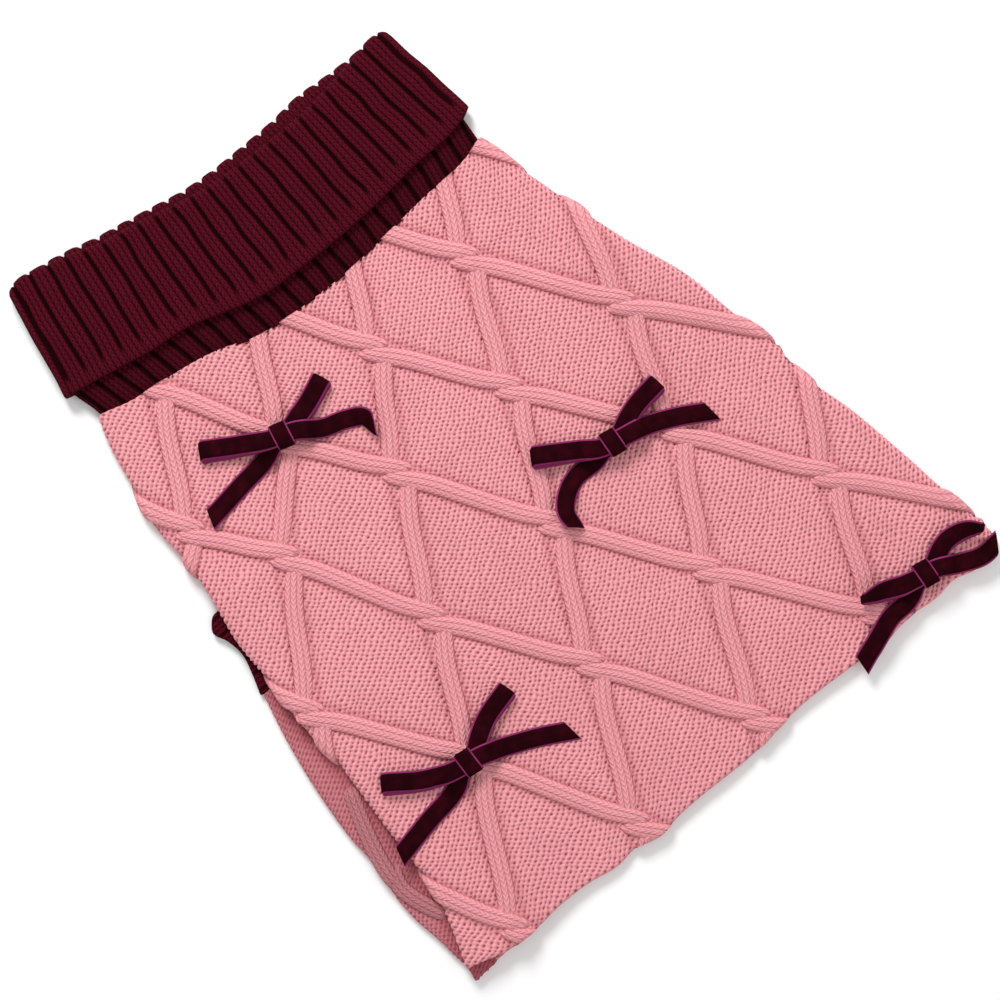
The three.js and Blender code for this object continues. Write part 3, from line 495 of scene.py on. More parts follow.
def ground_rows(settings):
    """Rows of places over the panel, a few to a stitch, with close columns along both side edges."""
    rows = settings.courses * STEPS_A_COURSE + 1
    share = np.linspace(0, 1, rows)
    ends = []
    for sign, edge in ((-1, LEFT_EDGE), (1, RIGHT_EDGE)):
        x = np.full(rows, sign * 130.0)
        for _ in range(8):
            x = curve(edge, "y", back_height(share, x), "x")
        ends.append(x)
    left, right = ends
    width = wale_width(share, settings)[:, None]
    middle = wale_middle(share)[:, None]
    low = math.floor(((left[:, None] - middle) / width).min() * STEPS_A_WALE)
    high = math.ceil(((right[:, None] - middle) / width).max() * STEPS_A_WALE)
    columns = middle + np.arange(low, high + 1)[None, :] * width / STEPS_A_WALE
    columns = np.clip(columns, left[:, None] + LATTICE_INSET, right[:, None] - LATTICE_INSET)
    x = np.hstack([left[:, None] + EDGE_COLUMNS, columns, right[:, None] - EDGE_COLUMNS[::-1]])
    share = np.repeat(share[:, None], x.shape[1], 1)
    return x, share


def ground_mesh(settings):
    x, share = ground_rows(settings)
    y = back_height(share, x)
    u = (x - wale_middle(share)) / wale_width(share, settings)
    v = share * settings.courses
    u, v = u + STRAY_ACROSS * noise(u * 0.9, v * 0.9, 1), v + STRAY_UP * noise(u * 0.7, v * 0.7, 2)
    loose = 1 + LOOSENESS * noise(u * 0.8, v * 0.8, 3)
    over, under = cable_distances(x, y)
    near = np.minimum(np.abs(over), np.abs(under))
    half = CABLE_WIDTH / 2
    valley_and_shade = np.exp(-(((near - half - 0.3) / VALLEY_WIDTH) ** 2))
    hole_and_shade = np.exp(-(((under + half + 0.4) / HOLE_WIDTH) ** 2)) * ease(half, half + 3, np.abs(over))
    hole_and_shade = hole_and_shade * ease(0, 0.6, noise(x / 3.1, y / 3.7, 6))
    pillow = ease(half + 1, half + PILLOW_REACH, near)
    height = 0.5 * settings.purl_rise / MM * loose * purl_height(u, v)
    height = height + PILLOW_RISE * pillow - VALLEY_DEPTH * valley_and_shade - HOLE_DEPTH * hole_and_shade
    points = on_back(x, y, height)
    rim = points[[0, -1]].copy()
    inside = np.minimum(x - left_edge(y), right_edge(y) - x)[[0, -1]]
    rim[..., 2] = np.minimum(rim[..., 2] - 0.01, held(BACK_UNDER, "inside", inside, "z"))
    points = np.concatenate([rim[:1], points, rim[1:]])
    repeat = [0, *range(len(x)), len(x) - 1]
    stitches = np.stack([u, v], -1)[repeat]
    return add_grid("back_ground", points, stitches, {"valley_and_shade": valley_and_shade[repeat], "hole_and_shade": hole_and_shade[repeat]})


def boundary_loop(mesh):
    """The numbers of the vertices along a mesh's open edge, in order."""
    count = {}
    for polygon in mesh.polygons:
        for key in polygon.edge_keys:
            count[key] = count.get(key, 0) + 1
    after = {}
    for (a, b), uses in count.items():
        if uses == 1:
            after.setdefault(a, []).append(b)
            after.setdefault(b, []).append(a)
    loop = [min(after)]
    before = None
    while True:
        step = next(n for n in after[loop[-1]] if n != before)
        before = loop[-1]
        if step == loop[0]:
            return loop
        loop.append(step)


def close_under(piece, height, spacing):
    """Closes an open sheet with a plain inner face, whose points lie at a given height under it."""
    mesh = piece.data
    loop = boundary_loop(mesh)
    rim = [mesh.vertices[n].co.to_2d() for n in loop]
    xs = np.array([p.x for p in rim])
    ys = np.array([p.y for p in rim])
    grid_x, grid_y = np.meshgrid(
        np.arange(xs.min(), xs.max(), spacing * MM), np.arange(ys.min(), ys.max(), spacing * MM)
    )
    spots = [Vector((a, b)) for a, b in zip(grid_x.ravel(), grid_y.ravel())]
    ring = [(n, (n + 1) % len(rim)) for n in range(len(rim))]
    found, _, faces, origins, _, _ = delaunay_2d_cdt(rim + spots, ring, [], 1, 1e-7)
    numbers = []
    added = []
    for spot, origin in zip(found, origins):
        on_rim = [n for n in origin if n < len(loop)]
        if on_rim:
            numbers.append(loop[on_rim[0]])
            continue
        numbers.append(len(mesh.vertices) + len(added))
        x = spot.x / MM - FOOTPRINT_SHIFT[0]
        y = spot.y / MM - FOOTPRINT_SHIFT[1]
        added.append((spot.x, spot.y, float(height(x, y)) * MM))
    under = bpy.data.meshes.new("under")
    used = sorted({numbers[n] for face in faces for n in face})
    place = {n: k for k, n in enumerate(used)}
    first = len(mesh.vertices)
    corners = [mesh.vertices[n].co if n < first else added[n - first] for n in used]
    under.from_pydata(corners, [], [[place[numbers[n]] for n in face] for face in faces])
    layer = under.uv_layers.new(name="Stitches")
    for corner in under.loops:
        spot = under.vertices[corner.vertex_index].co
        layer.data[corner.index].uv = (spot.x / (PLAIN_STITCH * MM), spot.y / (PLAIN_COURSE * MM))
    inner = bpy.data.objects.new("under", under)
    bpy.context.scene.collection.objects.link(inner)
    return close_up(join([piece, inner], piece.name))


def back_under(x, y):
    left, right = back_sides(y)
    inside = max(0, min(x - left, right - x))
    lift = held(LEFT_LIFT, "y", y, "lift") if x - left < right - x else held(RIGHT_LIFT, "y", y, "lift")
    return held(BACK_UNDER, "inside", inside, "z") + lift * np.clip(1 - inside / LIFT_REACH, 0, 1)


class SWEATER_OT_back_panel(bpy.types.Operator):
    """Knits the back panel's ground"""

    bl_idname = "sweater.back_panel"
    bl_label = "Back panel"

    def execute(self, context):
        settings = context.scene.sweater_knit
        ground = close_up(ground_mesh(settings), fill=False)
        ground = close_under(ground, back_under, UNDER_SPACING)
        declare(ground, purl_cloth("Pink purl knit", settings), "pink_knit", "back_panel")
        return {"FINISHED"}


# Cables: strands of three knit columns. At a crossing the two strands turn once round each other
TOP_PLACES = np.linspace(-1, 1, 19)
BOTTOM_PLACES = np.array([0.85, -0.85])
STRAND_STEPS = 4  # to each stitch
OVER_END = 4.8  # how far an upper strand runs on past a crossing before it has gone under
UNDER_END = 2.6  # how far short of a crossing a lower strand stops, hidden
OVER_SPREAD, OVER_REACH = 2.7, 9.5
UNDER_START, UNDER_START_REACH = 5.4, 14.0
UNDER_STOP, UNDER_STOP_REACH = 3.2, 11.0
OVER_CURL = 0.06
CREST_RISE, CREST_AT, CREST_WIDTH = 1.0, 3.5, 3.6  # an upper strand's hump beside a crossing
END_DIVE = 3.0  # how far its ends sink, out of sight
DIP_DEPTH, DIP_REACH = 1.8, 5.0  # a lower strand's dip at a crossing
SQUEEZE, SQUEEZE_REACH = 0.16, 7  # how much narrower a strand is there
STRAND_BED = -1.5  # a strand's underside lies this deep in the cloth
STRAND_LEAST = -1.4
FLANK_DROP = 0.5
STRAND_STRAY = 0.18  # how far its stitches stray, in stitches
EDGE_OVERRUN = 8  # a strand's middle runs on this far past a side edge, so that all of it has gone round
END_OVERRUN = 0.012  # and this share of the length past the hem or the neck
LEAST_STEPS = 5


def hump(down, up, reach):
    """1 at both crossings of a stretch of cable, fading away from them."""
    return np.exp(-((down / reach) ** 2)) + np.exp(-((up / reach) ** 2))


def strand_route(row, place, lean, settings):
    """Route of the cable from one crossing down to the next, its height over the cloth and its width.

    Each strand leans on over the middle of a crossing and then turns down and under the next one.
    """
    top = lattice_point(row, place)
    foot = lattice_point(row + 1, place + 0.5 * lean)
    drop = top[1] - foot[1]
    over = lean > 0
    past = OVER_END if over else -UNDER_END
    length = math.hypot(foot[0] - top[0], drop) + 2 * past
    steps = round(length * STRAND_STEPS / (settings.stitch / MM))
    down = np.linspace(-past, drop + past, steps + 1)
    up = drop - down
    if over:
        aside = OVER_SPREAD * (np.exp(-((up / OVER_REACH) ** 2)) - np.exp(-((down / OVER_REACH) ** 2)))
    else:
        aside = UNDER_START * np.exp(-((down / UNDER_START_REACH) ** 2))
        aside = aside - UNDER_STOP * np.exp(-((up / UNDER_STOP_REACH) ** 2))
    curl = OVER_CURL * (np.clip(-down, 0, None) ** 2 - np.clip(-up, 0, None) ** 2)
    x = top[0] + (foot[0] - top[0]) / drop * down + aside + curl
    if over:
        lift = CREST_RISE * hump(down - CREST_AT, up - CREST_AT, CREST_WIDTH)
        lift = lift - END_DIVE * (ease(-1.5, -past, down) + ease(-1.5, -past, up))
    else:
        lift = -DIP_DEPTH * hump(down, up, DIP_REACH)
    squeeze = 1 - SQUEEZE * np.clip(hump(down, up, SQUEEZE_REACH), 0, 1)
    return x, top[1] - down, lift, squeeze


def strand_mesh(name, route, settings, lay=on_back):
    x, y, lift, squeeze = route
    along = np.stack([np.gradient(x), np.gradient(y)], -1)
    along /= np.linalg.norm(along, axis=1)[:, None]
    across = np.stack([-along[:, 1], along[:, 0]], -1)
    length = np.concatenate([[0], np.cumsum(np.hypot(np.diff(x), np.diff(y)))])
    v = length / (settings.stitch / MM)
    places = np.concatenate([TOP_PLACES, BOTTOM_PLACES, TOP_PLACES[:1]])
    u = 2 + 1.5 * places
    top = np.arange(len(places)) < len(TOP_PLACES)
    round_top = (1 - np.abs(places) ** 2.6) ** 0.6
    grid_u, grid_v = np.meshgrid(u, v)
    loose = STRAND_STRAY * noise(grid_u * 1.1, grid_v * 0.7, 7)
    stitch = knit_height(grid_u, grid_v + loose) * settings.stitch_rise / MM
    crest = settings.rise / MM * round_top[None, :] - FLANK_DROP + stitch * (0.3 + 0.7 * round_top[None, :])
    crest = np.maximum(crest + lift[:, None], STRAND_LEAST)
    height = np.where(top[None, :], crest, STRAND_BED)
    height[:, -1] = height[:, 0]
    half = CABLE_WIDTH / 2 * squeeze[:, None] * places[None, :]
    px = x[:, None] + across[:, None, 0] * half
    py = y[:, None] + across[:, None, 1] * half
    return add_grid(name, lay(px, py, height), np.stack([grid_u, grid_v + loose], -1))


def crossing_strands(lean, settings):
    """Every strand of one family that shows on the back panel."""
    strands = []
    for row in range(-1, 6):
        for step in range(-4, 5):
            place = step + row / 2 - 0.5
            route = strand_route(row, place, lean, settings)
            x, y = route[:2]
            share = back_share(x, y)
            left, right = back_sides(y)
            shown = (share > -END_OVERRUN) & (share < 1 + END_OVERRUN)
            shown = shown & (x > left - EDGE_OVERRUN) & (x < right + EDGE_OVERRUN)
            if shown.sum() < LEAST_STEPS:
                continue
            first, last = np.flatnonzero(shown)[[0, -1]]
            kept = [values[first:last + 1] for values in route]
            strands.append(strand_mesh(f"strand_{lean}_{row}_{step}", kept, settings))
    return strands


class SWEATER_OT_cables(bpy.types.Operator):
    """Knits the cables that cross the back panel"""

    bl_idname = "sweater.cables"
    bl_label = "Cables"

    def execute(self, context):
        settings = context.scene.sweater_cable
        knit = context.scene.sweater_knit
        # the cables' gaps get half as much painted shade
        finish = knit_cloth("Pink cable knit", knit.pink, blended(knit.pink_gap_shade, knit.pink, 0.5))
        for name, lean in (("cables_over", 1), ("cables_under", -1)):
            cable = close_up(join(crossing_strands(lean, settings), name))
            declare(cable, finish, "pink_knit", "back_panel")
        return {"FINISHED"}


# The belly panel: flat on the surface, and turned up on the left into a strip with a cable
TURN_RADIUS = WALL + LAYER_GAP / 2
STRIP_TUCK = 14
STRIP_SHADE = 0.6  # painted shade: the strip lies deep beside the back panel, so its cable's colour is darkened to this share
STRIP_PURL_RISE = 0.32
STRIP_SHADE_LEVELS = (1.9, 3.0)  # how much painted shade darkens the strip, in the open and by the back panel's edge
STRIP_SINK = 0.7  # room for the strip's stitches under the back panel's edge
BELLY_NECK_GAP = 1.6
BELLY_HEM_INSET = 1
BELLY_EDGE_ROUND = 2.2
BELLY_MIDDLE_STEPS = 72
NOTCH_STEPS = 7
NOTCH_LOW = CUFF_LOW_Y - SEAM_GAP
NOTCH_HIGH = CUFF_HIGH_Y + SEAM_GAP
QUARTER_TURN = np.radians(np.linspace(0, 90, 5))
HALF_TURN = np.radians(np.linspace(0, 180, 11))


def belly_section(y, strip):
    """Places across the belly at each of some heights, from its right edge to its left, as x and z."""
    right, back = right_edge(y), left_edge(y)
    bend = BELLY_EDGE_ROUND
    corner = right - 0.1 - bend

    def run(low, high, count, z=0.0):
        x = np.linspace(low, high, count, axis=-1)[:, 1:]
        return x, np.full_like(x, z)

    def bent(middle, x, z):
        return middle[:, None] + x, np.tile(z, (len(y), 1))

    parts = [
        bent(corner, bend * np.cos(QUARTER_TURN), bend * (1 - np.sin(QUARTER_TURN))),
        run(corner, right - NOTCH_DEPTH, NOTCH_STEPS),
        run(right - NOTCH_DEPTH, back + NOTCH_DEPTH, BELLY_MIDDLE_STEPS),
    ]
    if strip:
        fold = curve(STRIP_EDGE, "y", y, "x") + TURN_RADIUS
        turn = HALF_TURN[1:]
        parts.append(run(back + NOTCH_DEPTH, fold, 12))
        parts.append(bent(fold, -TURN_RADIUS * np.sin(turn), TURN_RADIUS * (1 - np.cos(turn))))
        parts.append(run(fold, back + STRIP_TUCK, 34, 2 * TURN_RADIUS))
    else:
        corner = back + 0.1 + bend
        rise = QUARTER_TURN[::-1][1:]
        parts.append(run(back + NOTCH_DEPTH, corner, NOTCH_STEPS))
        parts.append(bent(corner, -bend * np.cos(rise), bend * (1 - np.sin(rise))))
    return [np.hstack(rows) for rows in zip(*parts)]


def belly_block(name, share_rows, height, strip, columns=slice(None)):
    """A block of the belly. height gives y from a row's share and a place x."""
    rows = []
    for share in share_rows:
        x = belly_section(np.array([float(height(share, 0.0))]), strip)[0][0]
        for _ in range(2):
            y = np.zeros(len(x)) + height(share, np.clip(x, -125, 120))
            x, z = [np.diagonal(field) for field in belly_section(y, strip)]
        rows.append(np.stack([x, y, z], -1)[columns])
    points = np.array(rows)
    x, y, z = np.moveaxis(points, -1, 0)
    across = np.hypot(np.diff(x, axis=1), np.diff(z, axis=1))
    u = np.hstack([np.zeros((len(x), 1)), np.cumsum(across, axis=1)]) / PLAIN_STITCH
    v = y / PLAIN_COURSE
    shade = np.zeros_like(u)
    if strip:
        points, shade = strip_relief(u, v, points)
    return add_grid(name, points, np.stack([u, v], -1), {"valley_and_shade": shade, "hole_and_shade": np.zeros_like(u)})


def strip_relief(u, v, points):
    """Adds the stitches on the part that is turned up, and gives each place its painted shade, deeper by the
    back panel's edge.
    """
    x, y, z = np.moveaxis(points, -1, 0)
    shown = ease(0.6, TURN_RADIUS, z)
    top = ease(1.2 * TURN_RADIUS, 2 * TURN_RADIUS - 0.1, z)
    rise = held(STRIP_CABLE, "y", y, "rise") * top
    place = (x - curve(STRIP_CABLE, "y", y, "x")) / (CABLE_WIDTH / 2)
    beside = np.exp(-(((np.abs(place) - 1.1) / 0.3) ** 2)) * rise
    height = STRIP_PURL_RISE * purl_height(u + 0.1 * noise(u, v, 4), v + 0.12 * noise(u, v, 5))
    height = (height - 0.6 * beside + 0.5 * np.sin(y / 15 + 0.8) * top - STRIP_SINK * top) * shown
    lean = np.where(z > 2 * TURN_RADIUS - 0.01, 0, -np.sqrt(np.clip(1 - (z / TURN_RADIUS - 1) ** 2, 0, 1)))
    points = points.copy()
    points[..., 0] += lean * height
    points[..., 2] = np.maximum(0, z + (z / TURN_RADIUS - 1) * height)
    back = left_edge(y)
    return points, shown * mix(*STRIP_SHADE_LEVELS, ease(-9, 0, x - back))


def strip_cable(settings):
    """The stretch of cable that shows on the strip."""
    strands = []
    for number, (low, high, shift) in enumerate(((-126, -72, 0), (-152, -112, 3.2))):
        down = np.arange(high, low, -settings.stitch / MM / STRAND_STEPS)
        x = curve(STRIP_CABLE, "y", down, "x") + shift * ease(-127, -112, down)
        ends = ease(0, 7, high - down) * ease(0, 7, down - low)
        route = x, down, 3 * ends - 2.9 - 0.5 * number, 0.8 + 0.1 * ends
        strands.append(strand_mesh(f"strip_{number}", route, settings, on_strip))
    return strands


def on_strip(x, y, height):
    return np.stack([x, y, 2 * TURN_RADIUS - 0.4 + height], -1)


class SWEATER_OT_belly_panel(bpy.types.Operator):
    """Knits the belly panel and its turned-up strip"""

    bl_idname = "sweater.belly_panel"
    bl_label = "Belly panel"

    def execute(self, context):
        settings = context.scene.sweater_knit

        def low(share, x):
            return mix(hem_line(x) + BELLY_HEM_INSET, NOTCH_LOW, share)

        def high(share, x):
            return mix(NOTCH_HIGH, neck_seam(x) - BELLY_NECK_GAP, share)

        def middle(share, x):
            return mix(NOTCH_LOW, NOTCH_HIGH, share)

        between = slice(len(QUARTER_TURN) + NOTCH_STEPS - 2, -(len(QUARTER_TURN) + NOTCH_STEPS - 2))
        belly = join([
            belly_block("belly", np.linspace(0, 1, 125), low, True),
            belly_block("belly_middle", np.linspace(0, 1, 12), middle, False, between),
            belly_block("belly_top", np.linspace(0, 1, 24), high, False),
        ], "belly_cloth")
        close_up(belly, fill=False)
        wall = belly.modifiers.new("Wall", "SOLIDIFY")
        wall.thickness = (WALL - 0.2) * MM
        wall.offset = -1
        bpy.ops.object.modifier_apply(modifier=wall.name)
        declare(belly, purl_cloth("Pink belly knit", settings), "pink_knit", "belly_panel")
        cable = close_up(join(strip_cable(context.scene.sweater_cable), "strip_cable"))
        # painted shade: the strip's cable is darkened as if lying in the shade beside the back panel
        shaded = [STRIP_SHADE * channel for channel in settings.pink]
        finish = knit_cloth("Pink strip cable", shaded, blended(settings.pink_gap_shade, shaded, 0.4))
        declare(cable, finish, "pink_knit", "belly_panel")
        return {"FINISHED"}


# The collar: a ribbed tube, flattened and turned down over itself
FOLD_RADIUS = COLLAR_WALL + SEAM_GAP / 2
# The wall's section from the seam up the outside to the fold, over it to the free edge, and back. line is
# 0 at the seam, 1 at the free edge and 2 at the fold. steps is how many rows lead to the next station
COLLAR_SECTION = table(
    "line shift top bottom groove left right tip steps",
    (0, 0.5, 6.3, 0, 1, -108.3, 104.2, 0, 10),
    (0.5, 0, 6.8, 1.3, 1, -109.4, 105, 0, 8),
    (1, -0.5, 7.2, 2.5, 1, -110.4, 105.8, 0, 6),
    (2, -FOLD_RADIUS, 7.2, 2.5, 0.6, -99.4, 104.4, 0, 1),
    (2, 0.15 - FOLD_RADIUS, 7.35, 2.35, 0, -99.8, 104.8, 0, 1),
    (2, -FOLD_RADIUS, 7.5, 2.2, 0, -100.1, 105.2, 0, 6),
    (1, 0.4, 7.5, 2.2, 0, -112.3, 109.2, 0, 2),
    (1, 0, 8.2, 1.6, 0, -113.6, 110.4, 0, 2),
    (1, 0.1, 9.6, 0.3, 0, -114.4, 111.3, 0, 2),
    (1.02, 0.4, 10.2, 0, 0.05, -114.5, 111.4, 0, 4),
    (1.08, 0.2, 10.4, 0, 0.15, -113.8, 111.2, 0, 4),
    (1.17, 0.2, 10.5, 0, 0.9, -112.6, 111, 0, 22),
    (1.5, 0, 10.7, 0, 1, -108.6, 109.8, 0, 32),
    (2, -FOLD_RADIUS - 0.6, 10.5, 0, 0.9, -102.4, 107.5, 0, 3),
    (2, -1.2, 9.9, 0.4, 0.9, -101.9, 107.1, 0.3, 3),
    (2, -0.25, 8.7, 1.3, 0.7, -100.9, 106, 0.8, 3),
    (2, 0, 7.35, 2.35, 0.3, -99.9, 105, 1, 3),
    (2, -0.3, 6.3, 3.4, 0.1, -98.6, 103.7, 0.7, 2),
    (2, -1.3, 5.4, 4.3, 0, -97.8, 102.8, 0.3, 2),
    (2, -FOLD_RADIUS, 5, 4.7, 0, -97.2, 102.2, 0, 4),
    (1, -0.5, 5, 4.7, 0, -108.2, 103.6, 0, 3),
    (0, 0.5, 3.9, 2.2, 0, -106.1, 102, 0, 3),
)
RIB_CUTS = np.array([
    0, 0.045, 0.09, 0.15, 0.213, 0.29, 0.357, 0.43, 0.5, 0.57, 0.643, 0.71, 0.787, 0.85, 0.91, 0.955,
])
RIB_CHANNEL = 0.07
RIB_COURSE = 2.5
RIB_WOBBLE = 0.55
COLLAR_UNEVENNESS = 0.35
# painted shade that darkens the collar's lower layer, between the neck seam and the free edge
LOWER_LAYER_SHADE = 0.3


def rib_stitch(place):
    """Stitch columns along a run of ribs: the channel, then three knit columns. place counts the ribs."""
    rib = np.floor(place)
    return 4 * rib + np.interp(place - rib, [0, RIB_CHANNEL, 1 - RIB_CHANNEL, 1], [0, 0.5, 3.5, 4])


def rib_depth(place):
    """How deep the cloth lies at a place along the ribs: 1 in a channel and 0 on a rib's middle."""
    x = np.abs(place - np.round(place))
    return np.exp(-((x / 0.085) ** 2)) + 0.16 * (1 - np.clip(x / 0.5, 0, 1)) ** 2


def ring_points(low, high, top, bottom, count):
    """Places round a flattened tube, as its place along the ribs, its side position, height and facing."""
    radius = (top - bottom) / 2
    cuts = np.concatenate([(np.arange(count)[:, None] + RIB_CUTS[None, :]).ravel(), [count]])
    start, end = low + radius, high - radius
    turn = np.radians([30, 60, 90, 120, 150])
    under = np.linspace(0, count, count * 8 + 1)
    along = np.concatenate([
        mix(start, end, cuts / count), end + radius * np.sin(turn),
        mix(end, start, under / count), start - radius * np.sin(turn[::-1]),
    ])
    facing = np.concatenate([np.ones(len(cuts)), np.cos(turn), -np.ones(len(under)), np.cos(turn[::-1])])
    turned = np.linspace(0.2, 0.8, len(turn))
    ribs = np.concatenate([cuts, count + turned, count + 1 + under, 2 * count + 1 + turned])
    return along, facing, ribs


def spread_stations(section):
    """The rows of a closed section, with as many steps between its stations as each asks for."""
    rows = []
    count = len(section["steps"])
    for station in range(count):
        steps = int(section["steps"][station])
        for step in range(steps):
            rows.append({
                key: mix(values[station], values[(station + 1) % count], step / steps)
                for key, values in section.items()
            })
    return rows


def collar_line(line, x, underside):
    seam = neck_seam(x)
    free = curve_held(COLLAR_FREE, "x", x, "y")
    fold = curve_held(COLLAR_FOLD, "x", x, "y") + underside * curve_held(COLLAR_PEEK, "x", x, "y")
    return np.where(line <= 1, mix(seam, free, line), mix(free, fold, line - 1))


def collar_mesh(settings):
    rings = []
    section = spread_stations(COLLAR_SECTION)
    for here in section:
        sides = here["left"], here["right"], here["top"], here["bottom"]
        x, facing, ribs = ring_points(*sides, COLLAR_RIBS)
        underside = np.clip((1 - facing) / 2, 0, 1)
        channel = rib_depth(ribs)
        scallop = here["tip"] * (channel * mix(1.3, 2.6, underside) - 0.3)
        y = collar_line(here["line"], x, underside) + here["shift"] - scallop
        middle, radius = (here["top"] + here["bottom"]) / 2, (here["top"] - here["bottom"]) / 2
        groove = np.where(facing < -0.9, 0, here["groove"])
        rings.append(np.stack([x, y, middle + radius * facing, facing, channel, groove, ribs]))
    x, y, z, facing, channel, groove, ribs = np.moveaxis(np.array(rings), 1, 0)
    lengths = np.hypot(np.diff(y, axis=0), np.diff(z, axis=0)).mean(1)
    courses = np.concatenate([[0], np.cumsum(lengths)]) / RIB_COURSE
    v = np.repeat(courses[:, None], x.shape[1], 1)
    x = x + RIB_WOBBLE * noise(ribs, y / 11, 10)
    u = rib_stitch(ribs)
    v = v + 0.15 * noise(u * 1.1, v * 0.8, 8)
    outer = np.clip(groove * 4, 0, 1)
    rise = knit_height(u, v) * settings.stitch_rise / MM * outer
    z = z + facing * (rise - 0.4 * outer - channel * groove * settings.rib_depth / MM)
    uneven = COLLAR_UNEVENNESS * noise(x / 23, y / 16, 9)
    z = z + uneven * np.clip(z - 8, 0, 1) * np.clip(facing, 0, 1)
    # painted shade: the rib channels and the lower layer are darkened in colour
    under = np.array([LOWER_LAYER_SHADE if here["line"] < 1 else 0 for here in section])
    shade = channel * groove + under[:, None]
    return closed_grid("collar_ribs", np.stack([x, y, z], -1), u, v, {"groove": shade})


def closed_grid(name, points, u, v, values):
    """A grid that closes on itself both ways."""
    def wrap(field, step=(0, 0)):
        field = np.concatenate([field, field[:1] + step[0]])
        return np.concatenate([field, field[:, :1] + step[1]], 1)

    u, v = wrap(u, (0, u[0, -1] + 1 - u[0, 0])), wrap(v, (v[-1, 0] + 1 - v[0, 0], 0))
    values = {key: wrap(value) for key, value in values.items()}
    return add_grid(name, wrap(points), np.stack([u, v], -1), values)


class SWEATER_OT_collar(bpy.types.Operator):
    """Knits the turned-down ribbed collar"""

    bl_idname = "sweater.collar"
    bl_label = "Collar"

    def execute(self, context):
        knit = context.scene.sweater_knit
        collar = close_up(collar_mesh(context.scene.sweater_cable))
        finish = knit_cloth("Burgundy rib knit", knit.burgundy, knit.burgundy_gap_shade, ribbed=True)
        declare(collar, finish, "burgundy_knit", "collar")
        return {"FINISHED"}


# Leg cuffs: short ribbed tubes, flattened, from the body's notches outwards
CUFF_HEIGHT = 2 * CUFF_WALL + LAYER_GAP
# How far out each station of a cuff's wall reaches, and how far it lies inside the outer face
CUFF_SECTION = table(
    "reach inset groove steps", (0, 0, 1, 20), (0.94, 0, 1, 2), (0.985, 0.35, 0.6, 2), (1, 1, 0.2, 2),
    (0.985, 1.7, 0, 1), (0.95, CUFF_WALL, 0, 6), (0, CUFF_WALL, 0, 1),
)


def cuff_mesh(name, root, tip, settings):
    rings = []
    for number, here in enumerate(spread_stations(CUFF_SECTION)):
        inset = here["inset"]
        top, bottom = CUFF_HEIGHT - inset, inset
        y, facing, ribs = ring_points(CUFF_LOW_Y + inset, CUFF_HIGH_Y - inset, top, bottom, CUFF_RIBS)
        x = mix(root(y), tip(y), here["reach"])
        z = (top + bottom) / 2 + (top - bottom) / 2 * facing
        # the channels' depth, which also darkens their colour as painted shade
        groove = rib_depth(ribs) * np.where(facing > -0.9, 0.5 * here["groove"], 0)
        rings.append(np.stack([x, y, z, facing, groove, rib_stitch(ribs), np.full_like(x, number * 0.5)]))
    x, y, z, facing, groove, u, v = np.moveaxis(np.array(rings), 1, 0)
    rise = (knit_height(u, v) - 1) * 0.3 * np.where(facing > -0.9, 1, 0)
    z = z + facing * (rise - groove * settings.rib_depth / MM)
    return closed_grid(name, np.stack([x, y, z], -1), u, v, {"groove": groove})


def notch_left(y):
    return left_edge(y) + NOTCH_DEPTH - SEAM_GAP


def notch_right(y):
    return right_edge(y) - NOTCH_DEPTH + SEAM_GAP


class SWEATER_OT_leg_cuffs(bpy.types.Operator):
    """Knits the two leg cuffs"""

    bl_idname = "sweater.leg_cuffs"
    bl_label = "Leg cuffs"

    def execute(self, context):
        knit = context.scene.sweater_knit
        finish = knit_cloth("Burgundy cuff knit", knit.burgundy, knit.burgundy_gap_shade, ribbed=True)
        cuffs = (
            ("left", notch_left, lambda y: curve_held(CUFF_TIP, "y", y, "x")),
            ("right", notch_right, lambda y: right_edge(y) - CUFF_HIDDEN),
        )
        for side, root, tip in cuffs:
            cuff = close_up(cuff_mesh(f"cuff_{side}", root, tip, context.scene.sweater_cable))
            declare(cuff, finish, "burgundy_knit", f"leg_cuff_{side}")
        return {"FINISHED"}


# Bows: the loops are one band of ribbon, the tails another, and the knot is a band round both
KNOT_HALF = 5.3
KNOT_LENGTH = 8.0
KNOT_MOUTH = 0.6 * KNOT_LENGTH
# Each arm's side of the knot, its width there, how far along and beside the knot's line it comes out, whether
# it turns off that line at once, and by how much the cut across its end slants
ARMS = {
    "left_loop": {"side": -1, "gathered": 0.95, "mouth": 0.6, "aside": 0.2, "turns": False, "cut": 0},
    "right_loop": {"side": 1, "gathered": 0.85, "mouth": 0.4, "aside": 1.4, "turns": True, "cut": 0},
    "left_tail": {"side": -1, "gathered": 0.8, "mouth": 0.4, "aside": -1.2, "turns": True, "cut": 0.5},
    "right_tail": {"side": 1, "gathered": 0.95, "mouth": 0.6, "aside": -0.2, "turns": False, "cut": 0.7},
}
LOOP_OPENING = 2.2
LOOP_SLIP = 1.7  # the lower layer shows this far past the upper one at a loop's end
TAILS_LEVEL = RIBBON_WALL + SEAM_GAP
LOOPS_LEVEL = 2 * TAILS_LEVEL
KNOT_TOP_LEVEL = LOOPS_LEVEL + 2 * TAILS_LEVEL
REST_SPOTS = np.array([-5.0, -2.5, 0, 2.5, 5.0])
IMAGE_DOWN = np.array([-0.678, -0.735, 0])  # down the picture
UPPER_TAIL_LEVEL = LOOPS_LEVEL + TAILS_LEVEL  # the right tail leaves the knot over the right loop
# Ribbon section: places across it, and how thick the pile, the edge weave and the back are there
PILE = table(
    "place thick", (-1, 0.3), (-0.93, 0.42), (-0.86, 0.45), (-0.81, 0.95), (-0.5, 1.05), (0, 1.1),
    (0.5, 1.05), (0.81, 0.95), (0.86, 0.45), (0.93, 0.42), (1, 0.3),
)
BACK_PLACES = np.array([0.97, 0.5, 0, -0.5, -0.97])
